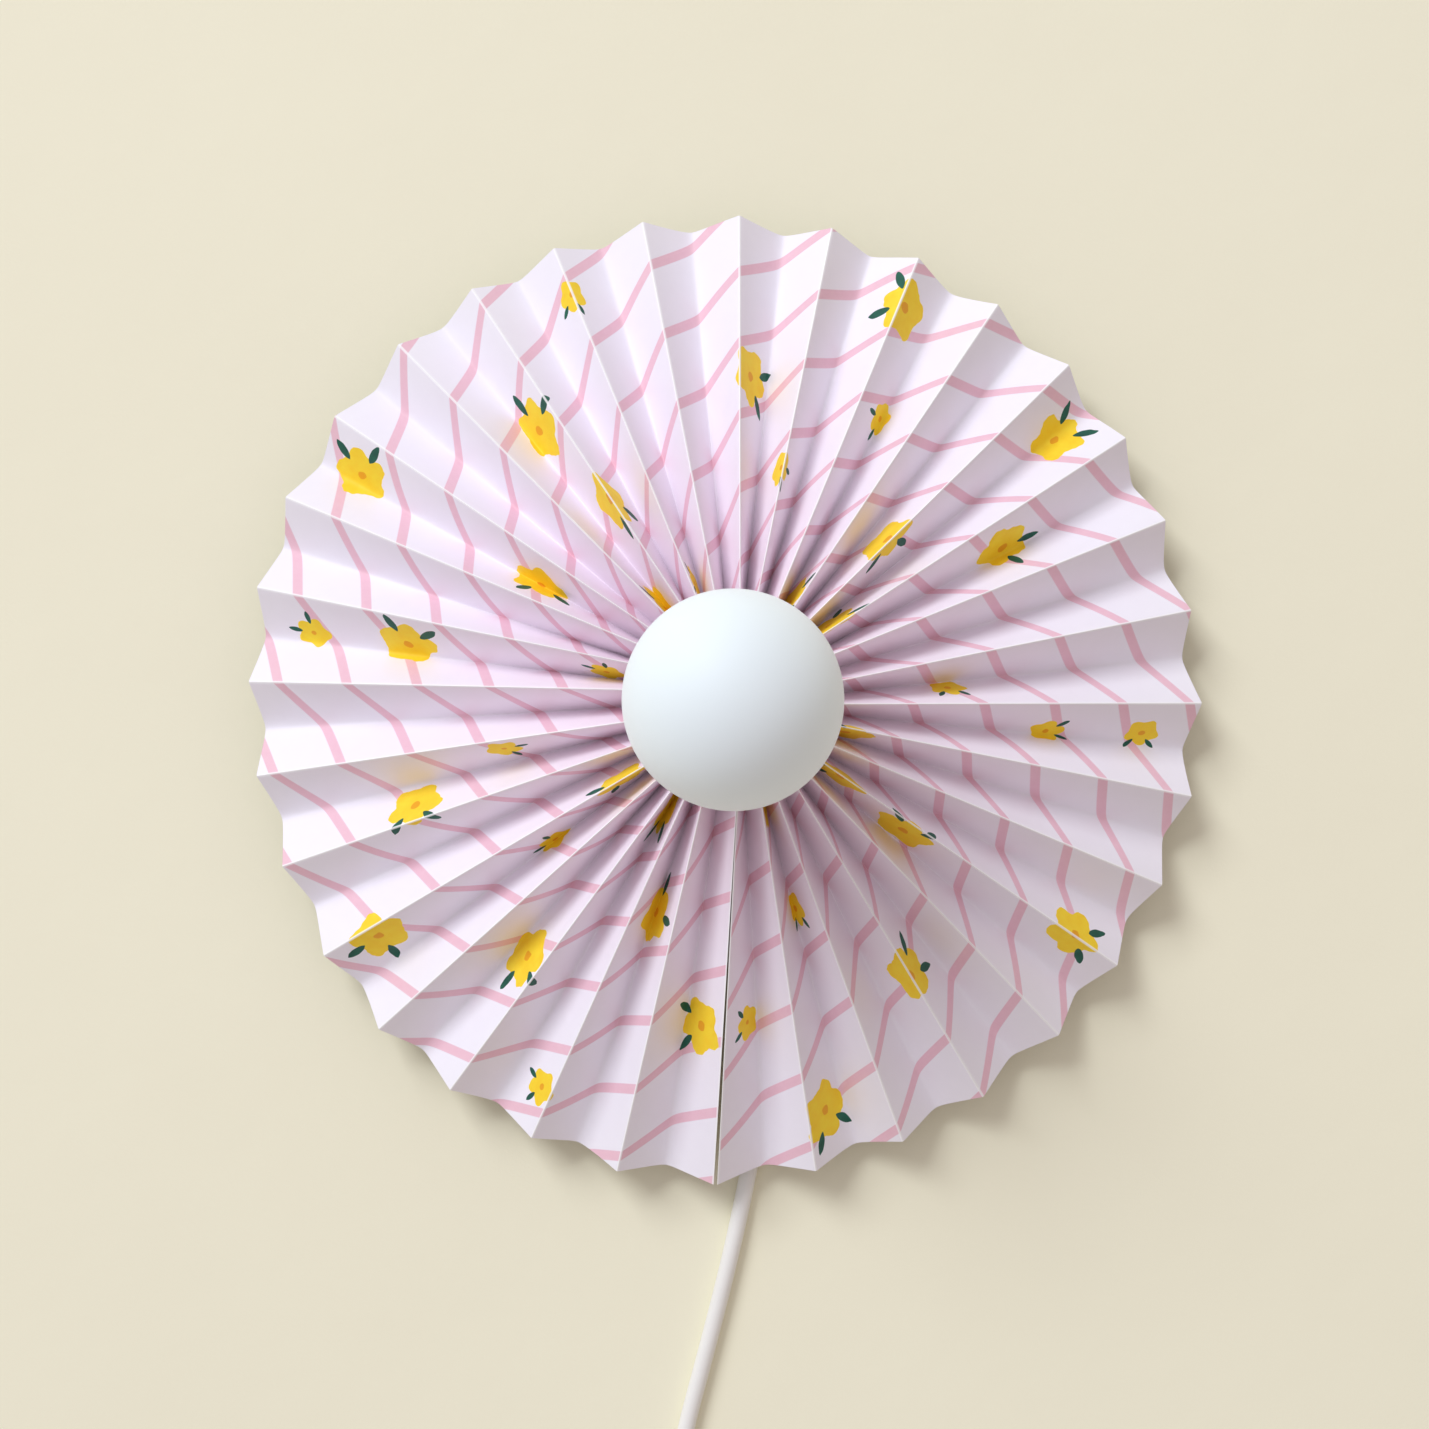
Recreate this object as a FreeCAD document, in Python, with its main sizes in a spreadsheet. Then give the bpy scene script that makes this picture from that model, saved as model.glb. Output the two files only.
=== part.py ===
"""Plug-in wall lamp with a pleated paper rosette round a bare globe bulb.

The lamp lies on its back: Z points from the wall into the room, and Y points up the wall.
The origin is the centre of the wall plate's rear face. All sizes are in millimetres.

The stack, from the wall outwards: wall plate and base cover, lampholder on a threaded nipple,
pleated shade clamped between two dished washers by the holder's threaded ring, globe bulb.
The mains cord leaves the base at the bottom and runs through a rocker switch to its plug.
"""

import FreeCAD, Part
import math
import os
import re

import Sketcher
from FreeCAD import Placement, Rotation, Vector

# ---------------------------------------------------------------------------
# Driving sizes: alias, value, what it is
# ---------------------------------------------------------------------------

SIZES = {
    # Pleated paper shade. "Mid" is the line half way between mountain and valley folds.
    "pleat_count": (32, "mountain folds round the shade"),
    "panel_width": (24.0, "paper between two folds"),
    "hub_radius": (27.0, "mid radius of the inner edge"),
    "hub_height": (70.0, "mid height of the inner edge above the wall"),
    "rim_radius": (193.0, "mid radius of the outer edge"),
    "rim_height": (16.0, "mid height of the outer edge above the wall"),
    "paper_thickness": (0.4, "laminated shade paper"),
    "crease_depth": (0.45, "a pressed crease's inside edge from the paper's middle, at most"),
    "seam_angle": (269.0, "where the strip's two ends meet, from +X, degrees"),
    "seam_gap_hub": (0.6, "gap between the strip's ends at the hub"),
    "seam_gap_rim": (3.0, "gap between the strip's ends at the rim"),
    "thread_inset": (6.0, "gathering thread from the inner edge, along the pleats"),
    "thread_diameter": (1.2, "gathering thread"),
    # Washers and ring that clamp the shade
    "washer_thickness": (1.2, "both dished washers"),
    "washer_reach": (6.5, "sloping rim of a washer past the flat, radially"),
    "rear_washer_bore": (40.2, "rear washer over the holder's skirt"),
    "front_washer_bore": (45.6, "front washer over the ring's collar"),
    "clamp_gap": (0.3, "between the pleats and a washer"),
    "ring_diameter": (58.0, "shade ring's flange"),
    "ring_thickness": (3.0, "shade ring's flange"),
    "ring_collar_diameter": (44.6, "shade ring's collar"),
    "ring_collar_depth": (8.0, "shade ring's collar below its flange"),
    "ring_gap": (0.1, "between the ring and the front washer"),
    "grip_notch_count": (24, "finger notches round the shade ring"),
    "grip_notch_diameter": (3.0, "one finger notch"),
    # Lampholder
    "skirt_diameter": (39.5, "holder's outside thread"),
    "skirt_bore": (34.5, "holder's inside"),
    "skirt_past_ring": (1.7, "holder's rim above the shade ring"),
    "thread_clearance": (0.05, "radial, between two threads that turn on each other"),
    "shoulder_diameter": (46.0, "shoulder under the rear washer"),
    "shoulder_thickness": (4.0, "shoulder under the rear washer"),
    "cap_diameter": (46.0, "holder cap"),
    "cap_wall": (2.0, "holder cap"),
    "cap_collar_diameter": (16.0, "holder cap's threaded collar"),
    "cap_collar_height": (6.0, "holder cap's threaded collar"),
    "cap_dome_height": (12.0, "holder cap from its collar to its full width"),
    "cap_dome_curve": (1.3, "radius of the holder cap's dome over its height"),
    "block_thickness": (11.0, "contact block"),
    "shell_bore": (26.6, "screw shell, inside"),
    "shell_wall": (0.5, "screw shell"),
    "shell_below_rim": (2.5, "screw shell's edge below the holder's rim"),
    "contact_depth": (29.0, "bulb's tip below the holder's rim"),
    "contact_height": (1.1, "centre contact above the block"),
    "contact_diameter": (8.0, "centre contact"),
    "contact_gap": (0.1, "between the centre contact and the bulb's tip"),
    "terminal_spacing": (18.0, "between the two terminals"),
    "terminal_width": (5.0, "one terminal, square"),
    "terminal_height": (6.0, "one terminal"),
    "core_diameter": (2.4, "insulated conductor"),
    "core_spacing": (3.2, "between the two conductors in the cord"),
    # Bulb
    "globe_diameter": (80.0, "opal globe"),
    "globe_wall": (1.2, "opal globe"),
    "globe_neck_diameter": (45.0, "globe where it meets the housing"),
    "bulb_length": (118.0, "tip to the top of the globe"),
    "bulb_cap_diameter": (26.0, "bulb's screw cap"),
    "bulb_cap_wall": (0.3, "bulb's screw cap"),
    "bulb_cap_top": (27.0, "screw cap's upper edge above the tip"),
    "bulb_cap_bottom": (5.0, "screw cap's lower edge above the tip"),
    "tip_diameter": (9.6, "bulb's tip contact"),
    "tip_height": (1.5, "bulb's tip contact"),
    "insulator_top": (8.0, "bulb's insulator above the tip"),
    "neck_diameter": (27.8, "bulb's housing above the screw cap"),
    "neck_height": (4.0, "straight part of the bulb's housing"),
    "board_diameter": (34.0, "LED board"),
    "board_thickness": (1.6, "LED board"),
    "led_count": (8, "LEDs on the board"),
    "led_width": (3.0, "one LED, square"),
    "led_circle": (22.0, "circle of LEDs"),
    # Wall plate, base cover and what holds them
    "slot_width": (0.17, "slot of a screw over its head's diameter"),
    "plate_gap": (4.0, "wall plate's edge to the cover's wall"),
    "plate_thickness": (2.0, "wall plate"),
    "wall_hole_spacing": (60.0, "between the wall screws"),
    "wall_hole_diameter": (4.5, "wall screw holes"),
    "lug_gap": (4.5, "outer face of a lug to the cover's wall"),
    "lug_thickness": (1.5, "lugs bent up from the plate"),
    "lug_width": (12.0, "lugs"),
    "lug_height": (14.0, "lugs above the plate"),
    "cover_diameter": (100.0, "base cover"),
    "cover_height": (24.0, "base cover"),
    "cover_wall": (2.0, "base cover"),
    "cover_rounding": (6.0, "base cover's upper edge"),
    "side_screw_height": (9.0, "side screws above the wall"),
    "side_screw_diameter": (4.0, "side screws"),
    "side_screw_head": (7.0, "side screws' heads"),
    "side_screw_head_height": (2.4, "side screws' heads"),
    "side_screw_length": (10.5, "side screws' shanks"),
    "nipple_diameter": (10.0, "threaded nipple"),
    "nipple_bore": (7.2, "threaded nipple"),
    "nipple_above_cover": (4.5, "nipple's end above the cover"),
    "nipple_below_nut": (2.0, "nipple's end below the nut"),
    "nut_across_flats": (14.0, "nipple nut"),
    "nut_thickness": (4.0, "nipple nut"),
    "static_clearance": (0.05, "radial, between two pieces that are screwed or pushed together"),
    # Cord and its grip
    "cord_diameter": (7.0, "mains cord"),
    "cord_entry_height": (6.5, "cord's centre where it enters the base"),
    "grip_width": (24.0, "cord grip across the cord"),
    "grip_length": (6.0, "cord grip along the cord"),
    "grip_height": (9.5, "cord grip above the plate"),
    "grip_screw_spacing": (16.0, "between the grip's screws"),
    "grip_screw_diameter": (3.0, "grip's screws"),
    "grip_screw_head": (5.4, "grip's screws' heads"),
    "grip_inset": (2.0, "cord grip to the wall plate's edge"),
    "relief_flange_diameter": (12.0, "strain relief's flanges"),
    "relief_groove_diameter": (10.0, "strain relief in its hole"),
    "relief_tip_diameter": (8.6, "strain relief's thin end"),
    "relief_wide_diameter": (11.0, "strain relief outside the cover"),
    "relief_groove_play": (0.5, "strain relief's groove over the cover's wall"),
    "relief_offset": (0.1, "strain relief's flange off the cover's wall"),
    "relief_length": (23.0, "strain relief outside the cover"),
    # Cord switch
    "switch_x": (-22.0, "centre of the cord switch"),
    "switch_y": (-399.0, "centre of the cord switch"),
    "switch_length": (62.0, "along the cord"),
    "switch_width": (28.0, "across the cord"),
    "switch_split": (8.0, "height of the parting line, the cord and the rocker's pivot"),
    "switch_height": (16.0, "over the upper shell"),
    "switch_rounding": (9.0, "corners in plan"),
    "switch_wall": (2.0, "both shells"),
    "rocker_width": (10.0, "rocker across the cord"),
    "rocker_reach": (8.0, "rocker's finger ends from its pivot"),
    "rocker_rise": (8.6, "rocker's finger ends above its pivot"),
    "rocker_dip": (1.2, "rocker's middle below its finger ends"),
    "rocker_depth": (4.0, "rocker below its pivot"),
    "rocker_foot": (5.0, "half of the rocker's lower width"),
    "rocker_slot_gap": (0.6, "rocker to its slot, across the cord"),
    "rocker_swing_gap": (1.6, "rocker to its slot, along the cord"),
    "rocker_rest_angle": (7.0, "rocker's tilt from level, at rest"),
    "trunnion_diameter": (3.0, "rocker's pivot stubs"),
    "trunnion_length": (2.0, "rocker's pivot stubs past its sides"),
    "boss_diameter": (6.0, "screw bosses in the switch"),
    "boss_offset_x": (9.6, "screw bosses from the switch's centre"),
    "boss_offset_y": (22.0, "screw bosses from the switch's centre"),
    "switch_screw_diameter": (2.4, "switch screws"),
    "switch_screw_head": (4.6, "switch screws' heads"),
    "switch_screw_head_height": (1.4, "switch screws' heads"),
    "switch_screw_length": (11.0, "switch screws under their heads"),
    "switch_relief_length": (22.0, "the switch's tapered sleeves"),
    "switch_relief_diameter": (11.0, "the switch's tapered sleeves at the shells"),
    "cord_in_switch": (6.0, "cord's end inside the shells"),
    # Coil, tie and plug
    "coil_x": (17.0, "centre of the coil"),
    "coil_y": (-520.0, "centre of the coil"),
    "coil_mid_radius": (35.5, "middle of the turns"),
    "coil_columns": (2, "turns side by side"),
    "coil_layers": (3, "turns on each other"),
    "coil_rounding": (2.4, "edges of the put-away turns"),
    "tie_thickness": (0.8, "coil tie"),
    "tie_width": (10.0, "coil tie"),
    "plug_back_x": (92.0, "rear end of the plug's body"),
    "plug_length": (40.0, "plug's body"),
    "plug_face_diameter": (36.0, "plug's face"),
    "plug_rear_diameter": (20.0, "plug's body at the cord"),
    "plug_face_length": (14.0, "straight part behind the face"),
    "plug_side_curve": (1.2, "radius of the body's side over its length"),
    "plug_slot_depth": (3.0, "grooves in the sides of the plug's face"),
    "plug_slot_width": (6.0, "grooves in the sides of the plug's face"),
    "pin_spacing": (19.0, "plug's pins"),
    "pin_diameter": (4.8, "plug's pins"),
    "pin_length": (19.0, "plug's pins in front of the face"),
    "pin_rooting": (12.0, "plug's pins inside the body"),
    "pin_root_diameter": (4.0, "plug's pins inside the body"),
    "plug_relief_length": (26.0, "plug's tapered sleeve"),
    "plug_relief_diameter": (12.0, "plug's tapered sleeve at the body"),
}

# ---------------------------------------------------------------------------
# Fits: what follows from the driving sizes, in the order of the stack
# ---------------------------------------------------------------------------

FITS = {
    "fold_sine": ("sin(90 / pleat_count)", "sine of a quarter of a pleat's angle"),
    "slope": (
        "atan((hub_height - rim_height) / (rim_radius - hub_radius))",
        "shade's slope towards the wall",
    ),
    "hub_half_depth": (
        "sqrt((panel_width^2 / 4 - (hub_radius * fold_sine)^2) / (1 - (sin(slope) * fold_sine)^2))",
        "from the mid line to a fold, at the hub",
    ),
    "rim_half_depth": (
        "sqrt((panel_width^2 / 4 - (rim_radius * fold_sine)^2) / (1 - (sin(slope) * fold_sine)^2))",
        "from the mid line to a fold, at the rim",
    ),
    "mountain_hub_radius": ("hub_radius + hub_half_depth * sin(slope)", "mountain fold at the hub"),
    "mountain_hub_height": ("hub_height + hub_half_depth * cos(slope)", "mountain fold at the hub"),
    "valley_hub_radius": ("hub_radius - hub_half_depth * sin(slope)", "valley fold at the hub"),
    "valley_hub_height": ("hub_height - hub_half_depth * cos(slope)", "valley fold at the hub"),
    "mountain_rim_radius": ("rim_radius + rim_half_depth * sin(slope)", "mountain fold at the rim"),
    "mountain_rim_height": ("rim_height + rim_half_depth * cos(slope)", "mountain fold at the rim"),
    "valley_rim_radius": ("rim_radius - rim_half_depth * sin(slope)", "valley fold at the rim"),
    "valley_rim_height": ("rim_height - rim_half_depth * cos(slope)", "valley fold at the rim"),
    "mountain_fall": (
        "(mountain_hub_height - mountain_rim_height) / (mountain_rim_radius - mountain_hub_radius)",
        "drop of a mountain fold for each millimetre outwards",
    ),
    "valley_fall": (
        "(valley_hub_height - valley_rim_height) / (valley_rim_radius - valley_hub_radius)",
        "drop of a valley fold for each millimetre outwards",
    ),
    "rear_washer_top": ("valley_hub_height - paper_thickness / 2 - clamp_gap", "rear washer's flat"),
    "shoulder_top": ("rear_washer_top - washer_thickness", "holder's shoulder"),
    "shoulder_bottom": ("shoulder_top - shoulder_thickness", "joint between holder body and cap"),
    "front_washer_bottom": (
        "mountain_hub_height + paper_thickness / 2 + clamp_gap",
        "front washer's flat",
    ),
    "front_washer_top": ("front_washer_bottom + washer_thickness", "front washer's flat"),
    "ring_bottom": ("front_washer_top + ring_gap", "shade ring's flange"),
    "ring_top": ("ring_bottom + ring_thickness", "shade ring's flange"),
    "holder_rim": ("ring_top + skirt_past_ring", "holder's upper edge"),
    "bulb_tip": ("holder_rim - contact_depth", "lowest point of the bulb"),
    "globe_centre": ("bulb_tip + bulb_length - globe_diameter / 2", "centre of the globe"),
    "neck_drop": (
        "sqrt((globe_diameter / 2)^2 - (globe_neck_diameter / 2)^2)",
        "globe's centre above its neck",
    ),
    "globe_neck": ("globe_centre - neck_drop", "globe's lower edge"),
    "block_top": ("bulb_tip - contact_gap - contact_height", "contact block's upper face"),
    "block_bottom": ("block_top - block_thickness", "contact block's lower face"),
    "terminal_bottom": ("block_bottom - terminal_height", "terminals' lower face"),
    "plate_diameter": ("cover_diameter - 2 * (cover_wall + plate_gap)", "wall plate"),
    "lug_reach": ("cover_diameter / 2 - cover_wall - lug_gap", "outer face of a lug from the axis"),
    "cord_inside": (
        "plate_diameter / 2 - grip_inset - grip_length",
        "cord's inner end from the lamp's axis",
    ),
    "grip_centre_y": ("-cord_inside - grip_length / 2", "middle of the cord grip"),
    "cap_collar_top": ("cover_height + cap_collar_height", "holder cap's collar"),
    "cap_shoulder": ("cap_collar_top + cap_dome_height", "holder cap's full width"),
    "nut_top": ("cover_height - cover_wall", "underside of the cover's top"),
    "nut_bottom": ("nut_top - nut_thickness", "nipple nut"),
    "nipple_bottom": ("nut_bottom - nipple_below_nut", "nipple's lower end"),
    "nipple_top": ("cover_height + nipple_above_cover", "nipple's upper end"),
    "switch_front_y": ("switch_y + switch_length / 2", "switch's end towards the lamp"),
    "switch_back_y": ("switch_y - switch_length / 2", "switch's end towards the plug"),
    "coil_inner_radius": ("coil_mid_radius - coil_columns * cord_diameter / 2", "coil's inside"),
    "coil_outer_radius": ("coil_mid_radius + coil_columns * cord_diameter / 2", "coil's outside"),
    "coil_turn_radius": ("coil_outer_radius - cord_diameter / 2", "outermost turn"),
    "coil_top": ("tie_thickness + coil_layers * cord_diameter", "coil's upper side"),
    "plug_axis_height": ("plug_face_diameter / 2", "plug's axis above the floor"),
    "plug_face_x": ("plug_back_x + plug_length", "plug's face"),
    "plug_y": ("coil_y - coil_turn_radius", "plug's axis, in line with the coil's last turn"),
}

DOC = FreeCAD.newDocument("PleatedWallLamp")
NODES = []


# ---------------------------------------------------------------------------
# Spreadsheets and expressions
# ---------------------------------------------------------------------------

def linked(expression):
    """An expression in plain names, with each name pointed at its sheet."""

    def point(match):
        word = match.group(0)
        if word in SIZES:
            return "Sizes." + word
        if word in FITS:
            return "Fits." + word
        return word

    return re.sub(r"[a-z][a-z_]*[a-z]", point, str(expression))


def fill_sheet(name, rows, formulas=False):
    """A spreadsheet with one row for each size: what it is, and its value under an alias."""
    sheet = DOC.addObject("Spreadsheet::Sheet", name)
    for row, (alias, (content, meaning)) in enumerate(rows.items(), 1):
        sheet.set(f"A{row}", meaning)
        sheet.set(f"B{row}", "=" + linked(content) if formulas else str(content))
        sheet.setAlias(f"B{row}", alias)
        if formulas:
            DOC.recompute()
    DOC.recompute()
    return sheet


SHEET = fill_sheet("Sizes", SIZES)
fill_sheet("Fits", FITS, formulas=True)


def value(expression):
    """The number that an expression in plain names gives."""
    result = SHEET.evalExpression(linked(expression))
    return float(getattr(result, "Value", result))


def bind(thing, **properties):
    """Binds properties of an object to expressions in plain names."""
    for name, expression in properties.items():
        thing.setExpression(name, linked(expression))


def place(thing, x="0", y="0", z="0", rotation=None):
    """Places an object by expressions, turned by an optional fixed rotation."""
    if rotation is not None:
        thing.Placement = Placement(Vector(), rotation)
    for name, expression in (("x", x), ("y", y), ("z", z)):
        thing.setExpression("Placement.Base." + name, linked(expression))
    return thing


# ---------------------------------------------------------------------------
# Building blocks
# ---------------------------------------------------------------------------

def node(thing, label):
    """Names an object as one of the lamp's pieces."""
    thing.Label = label
    NODES.append(thing)
    return thing


def new_body(label):
    """An empty PartDesign body for one piece."""
    return node(DOC.addObject("PartDesign::Body", "Body"), label)


def new_sketch(body, role, offset="0"):
    """A sketch on one of its body's origin planes, moved off it by an offset."""
    plane = next(f for f in body.Origin.OriginFeatures if f.Role == role)
    sketch = body.newObject("Sketcher::SketchObject", "Sketch")
    sketch.AttachmentSupport = (plane, [""])
    sketch.MapMode = "FlatFace"
    sketch.setExpression("AttachmentOffset.Base.z", linked(offset))
    DOC.recompute()
    return sketch


def constrain(sketch, kind, places, expression):
    """One sketch dimension bound to an expression."""
    index = sketch.addConstraint(Sketcher.Constraint(kind, *places, value(expression)))
    sketch.setExpression(f"Constraints[{index}]", linked(expression))


def draw_outline(sketch, corners, arcs=None):
    """A closed outline through corners given as expressions.

    arcs maps the number of a corner to (radius, side): the side that follows that corner is an
    arc of that radius, bulging to its left (1) or to its right (-1).
    """
    arcs = arcs or {}
    points = [Vector(value(x), value(y), 0) for x, y in corners]
    first = sketch.GeometryCount
    count = len(points)
    for index, start in enumerate(points):
        end = points[(index + 1) % count]
        if index in arcs:
            sketch.addGeometry(bulged(start, end, value(arcs[index][0]), arcs[index][1]), False)
        else:
            sketch.addGeometry(Part.LineSegment(start, end), False)
    ends = [arc_ends(index in arcs, arcs.get(index, (0, 0))[1]) for index in range(count)]
    for index, (x, y) in enumerate(corners):
        here = first + index
        after = (index + 1) % count
        sketch.addConstraint(
            Sketcher.Constraint("Coincident", here, ends[index][1], first + after, ends[after][0])
        )
        place_corner(sketch, here, ends[index][0], x, y)
        if index in arcs:
            constrain(sketch, "Radius", (here,), arcs[index][0])
    DOC.recompute()
    return sketch


def arc_ends(is_arc, side):
    """The sketch's numbers for a side's start and end: an arc to the right runs backwards."""
    return (2, 1) if is_arc and side > 0 else (1, 2)


def bulged(start, end, radius, side):
    """An arc from start to end that bulges to the left (1) or right (-1) of the way there."""
    chord = end - start
    left = Vector(-chord.y, chord.x, 0).normalize()
    height = math.sqrt(max(radius**2 - (chord.Length / 2) ** 2, 0.0))
    centre = (start + end) * 0.5 - left * (height * side)
    first, last = (end, start) if side > 0 else (start, end)
    angles = [math.atan2(point.y - centre.y, point.x - centre.x) for point in (first, last)]
    if angles[1] < angles[0]:
        angles[1] += 2 * math.pi
    return Part.ArcOfCircle(Part.Circle(centre, Vector(0, 0, 1), radius), *angles)


def place_corner(sketch, geometry, end, x, y):
    """Two dimensions from the sketch's origin to one corner."""
    for kind, axis, expression in (("DistanceX", -2, x), ("DistanceY", -1, y)):
        if value(expression) == 0:
            sketch.addConstraint(Sketcher.Constraint("PointOnObject", geometry, end, axis))
        else:
            constrain(sketch, kind, (-1, 1, geometry, end), expression)


def draw_circle(sketch, x, y, diameter):
    """A circle of a diameter about a point, all given as expressions."""
    centre = Vector(value(x), value(y), 0)
    circle = sketch.addGeometry(Part.Circle(centre, Vector(0, 0, 1), value(diameter) / 2), False)
    place_corner(sketch, circle, 3, x, y)
    constrain(sketch, "Diameter", (circle,), diameter)
    DOC.recompute()
    return sketch


def revolved(label, corners, arcs=None):
    """A piece turned about Z from an outline of (radius, height) corners."""
    body = new_body(label)
    sketch = draw_outline(new_sketch(body, "XZ_Plane"), corners, arcs)
    turn = body.newObject("PartDesign::Revolution", "Revolution")
    turn.Profile = sketch
    turn.ReferenceAxis = (sketch, ["V_Axis"])
    turn.Angle = 360
    DOC.recompute()
    return body


def add_pad(body, sketch, length, midplane=False):
    """Adds material from a sketch along its normal."""
    pad = body.newObject("PartDesign::Pad", "Pad")
    pad.Profile = sketch
    pad.Midplane = midplane
    bind(pad, Length=length)
    DOC.recompute()
    return pad


def cut_pocket(body, sketch, length=None, along_normal=False, midplane=False):
    """Cuts a sketch out of its body, through all of it unless a length is given."""
    before = body.Shape.Volume
    pocket = body.newObject("PartDesign::Pocket", "Pocket")
    pocket.Profile = sketch
    pocket.Reversed = along_normal
    pocket.Midplane = midplane
    if length is None:
        pocket.Type = "ThroughAll"
    else:
        bind(pocket, Length=length)
    DOC.recompute()
    if body.Shape.Volume >= before:
        raise ValueError(f"a pocket of {body.Label} cuts nothing")
    return pocket


def round_edges(body, radius, wanted):
    """Rounds those edges of a body's last feature that wanted(edge) picks."""
    last = body.Tip
    names = [f"Edge{n}" for n, edge in enumerate(last.Shape.Edges, 1) if wanted(edge)]
    fillet = body.newObject("PartDesign::Fillet", "Fillet")
    fillet.Base = (last, names)
    bind(fillet, Radius=radius)
    DOC.recompute()
    return fillet


def is_upright(edge):
    """Whether an edge is a straight line along Z."""
    start, end = edge.Vertexes[0].Point, edge.Vertexes[-1].Point
    return math.hypot(end.x - start.x, end.y - start.y) < 1e-6 and abs(end.z - start.z) > 1e-6


def box(width, depth, height, x="0", y="0", z="0"):
    """A box centred on x and y, standing on z."""
    thing = DOC.addObject("Part::Box", "Box")
    bind(thing, Length=width, Width=depth, Height=height)
    return place(thing, f"{x} - ({width}) / 2", f"{y} - ({depth}) / 2", z)


def cylinder(diameter, height, x="0", y="0", z="0", rotation=None):
    """A cylinder that starts at a point and runs along Z, or along Z as rotation turns it."""
    thing = DOC.addObject("Part::Cylinder", "Cylinder")
    bind(thing, Radius=f"({diameter}) / 2", Height=height)
    return place(thing, x, y, z, rotation)


def joined(*things):
    """One solid from several."""
    fuse = DOC.addObject("Part::MultiFuse", "Fusion")
    fuse.Shapes = list(things)
    DOC.recompute()
    return fuse


def cut_away(base, *tools):
    """A solid less several others."""
    for tool in tools:
        cut = DOC.addObject("Part::Cut", "Cut")
        cut.Base = base
        cut.Tool = tool
        base = cut
    DOC.recompute()
    return base


def grouped(label, things):
    """Identical pieces as one node of separate solids."""
    group = DOC.addObject("Part::Compound", "Compound")
    group.Links = list(things)
    return node(group, label)


def slotted_screw(shank, length, head, head_height, x="0", y="0", z="0", rotation=None):
    """A screw whose head stands on a point, its shank running back along -Z."""
    thread = cylinder(shank, length, z=f"-({length})")
    top = cylinder(head, head_height)
    slot = box(head, f"({head}) * slot_width", f"({head_height}) / 2", z=f"({head_height}) / 2")
    return place(cut_away(joined(thread, top), slot), x, y, z, rotation)


# ---------------------------------------------------------------------------
# Wall plate and base cover
# ---------------------------------------------------------------------------

ALONG_X = Rotation(Vector(0, 1, 0), 90)
AGAINST_X = Rotation(Vector(0, 1, 0), -90)
ALONG_Y = Rotation(Vector(1, 0, 0), -90)
AGAINST_Y = Rotation(Vector(1, 0, 0), 90)


def make_wall_plate():
    """Round plate with two wall screw holes and two lugs bent up for the side screws."""
    body = revolved(
        "wall_plate",
        [
            ("0", "0"),
            ("plate_diameter / 2", "0"),
            ("plate_diameter / 2", "plate_thickness"),
            ("0", "plate_thickness"),
        ],
    )
    lug_inside = "(lug_reach - lug_thickness)"
    for side in (1, -1):
        sketch = new_sketch(body, "XY_Plane", "plate_thickness")
        reach = [f"{side} * {lug_inside}", f"{side} * lug_reach"]
        draw_outline(
            sketch,
            [
                (reach[0], "-lug_width / 2"),
                (reach[1], "-lug_width / 2"),
                (reach[1], "lug_width / 2"),
                (reach[0], "lug_width / 2"),
            ],
        )
        add_pad(body, sketch, "lug_height")
    for side in (1, -1):
        sketch = new_sketch(body, "XY_Plane", "plate_thickness")
        draw_circle(sketch, f"{side} * wall_hole_spacing / 2", "0", "wall_hole_diameter")
        cut_pocket(body, sketch)
    sketch = new_sketch(body, "YZ_Plane")
    draw_circle(sketch, "0", "side_screw_height", "side_screw_diameter + 2 * static_clearance")
    cut_pocket(body, sketch, "2 * cover_diameter", midplane=True)
    for side in (1, -1):
        sketch = new_sketch(body, "XY_Plane", "plate_thickness")
        draw_circle(
            sketch,
            f"{side} * grip_screw_spacing / 2",
            "grip_centre_y",
            "grip_screw_diameter + 2 * static_clearance",
        )
        cut_pocket(body, sketch)


def make_base_cover():
    """Round cup with a rounded upper edge, holes for the nipple, cord and side screws."""
    hole = "(nipple_diameter / 2 + static_clearance)"
    outer = "(cover_diameter / 2)"
    inner = "(cover_diameter / 2 - cover_wall)"
    body = revolved(
        "base_cover",
        [
            (outer, "0"),
            (outer, "cover_height - cover_rounding"),
            (f"{outer} - cover_rounding", "cover_height"),
            (hole, "cover_height"),
            (hole, "nut_top"),
            (f"{outer} - cover_rounding", "nut_top"),
            (inner, "cover_height - cover_rounding"),
            (inner, "0"),
        ],
        {1: ("cover_rounding", -1), 5: ("cover_rounding - cover_wall", 1)},
    )
    sketch = new_sketch(body, "XZ_Plane")
    draw_circle(sketch, "0", "cord_entry_height", "relief_groove_diameter + 2 * static_clearance")
    cut_pocket(body, sketch, "cover_diameter", along_normal=True)
    sketch = new_sketch(body, "YZ_Plane")
    draw_circle(sketch, "0", "side_screw_height", "side_screw_diameter + 2 * static_clearance")
    cut_pocket(body, sketch, "2 * cover_diameter", midplane=True)


def make_cover_screws():
    """Two screws that hold the cover to the lugs from the sides."""
    sizes = ("side_screw_diameter", "side_screw_length", "side_screw_head", "side_screw_head_height")
    height = "side_screw_height"
    grouped(
        "cover_screws",
        [
            slotted_screw(*sizes, x="cover_diameter / 2", z=height, rotation=ALONG_X),
            slotted_screw(*sizes, x="-cover_diameter / 2", z=height, rotation=AGAINST_X),
        ],
    )


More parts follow.
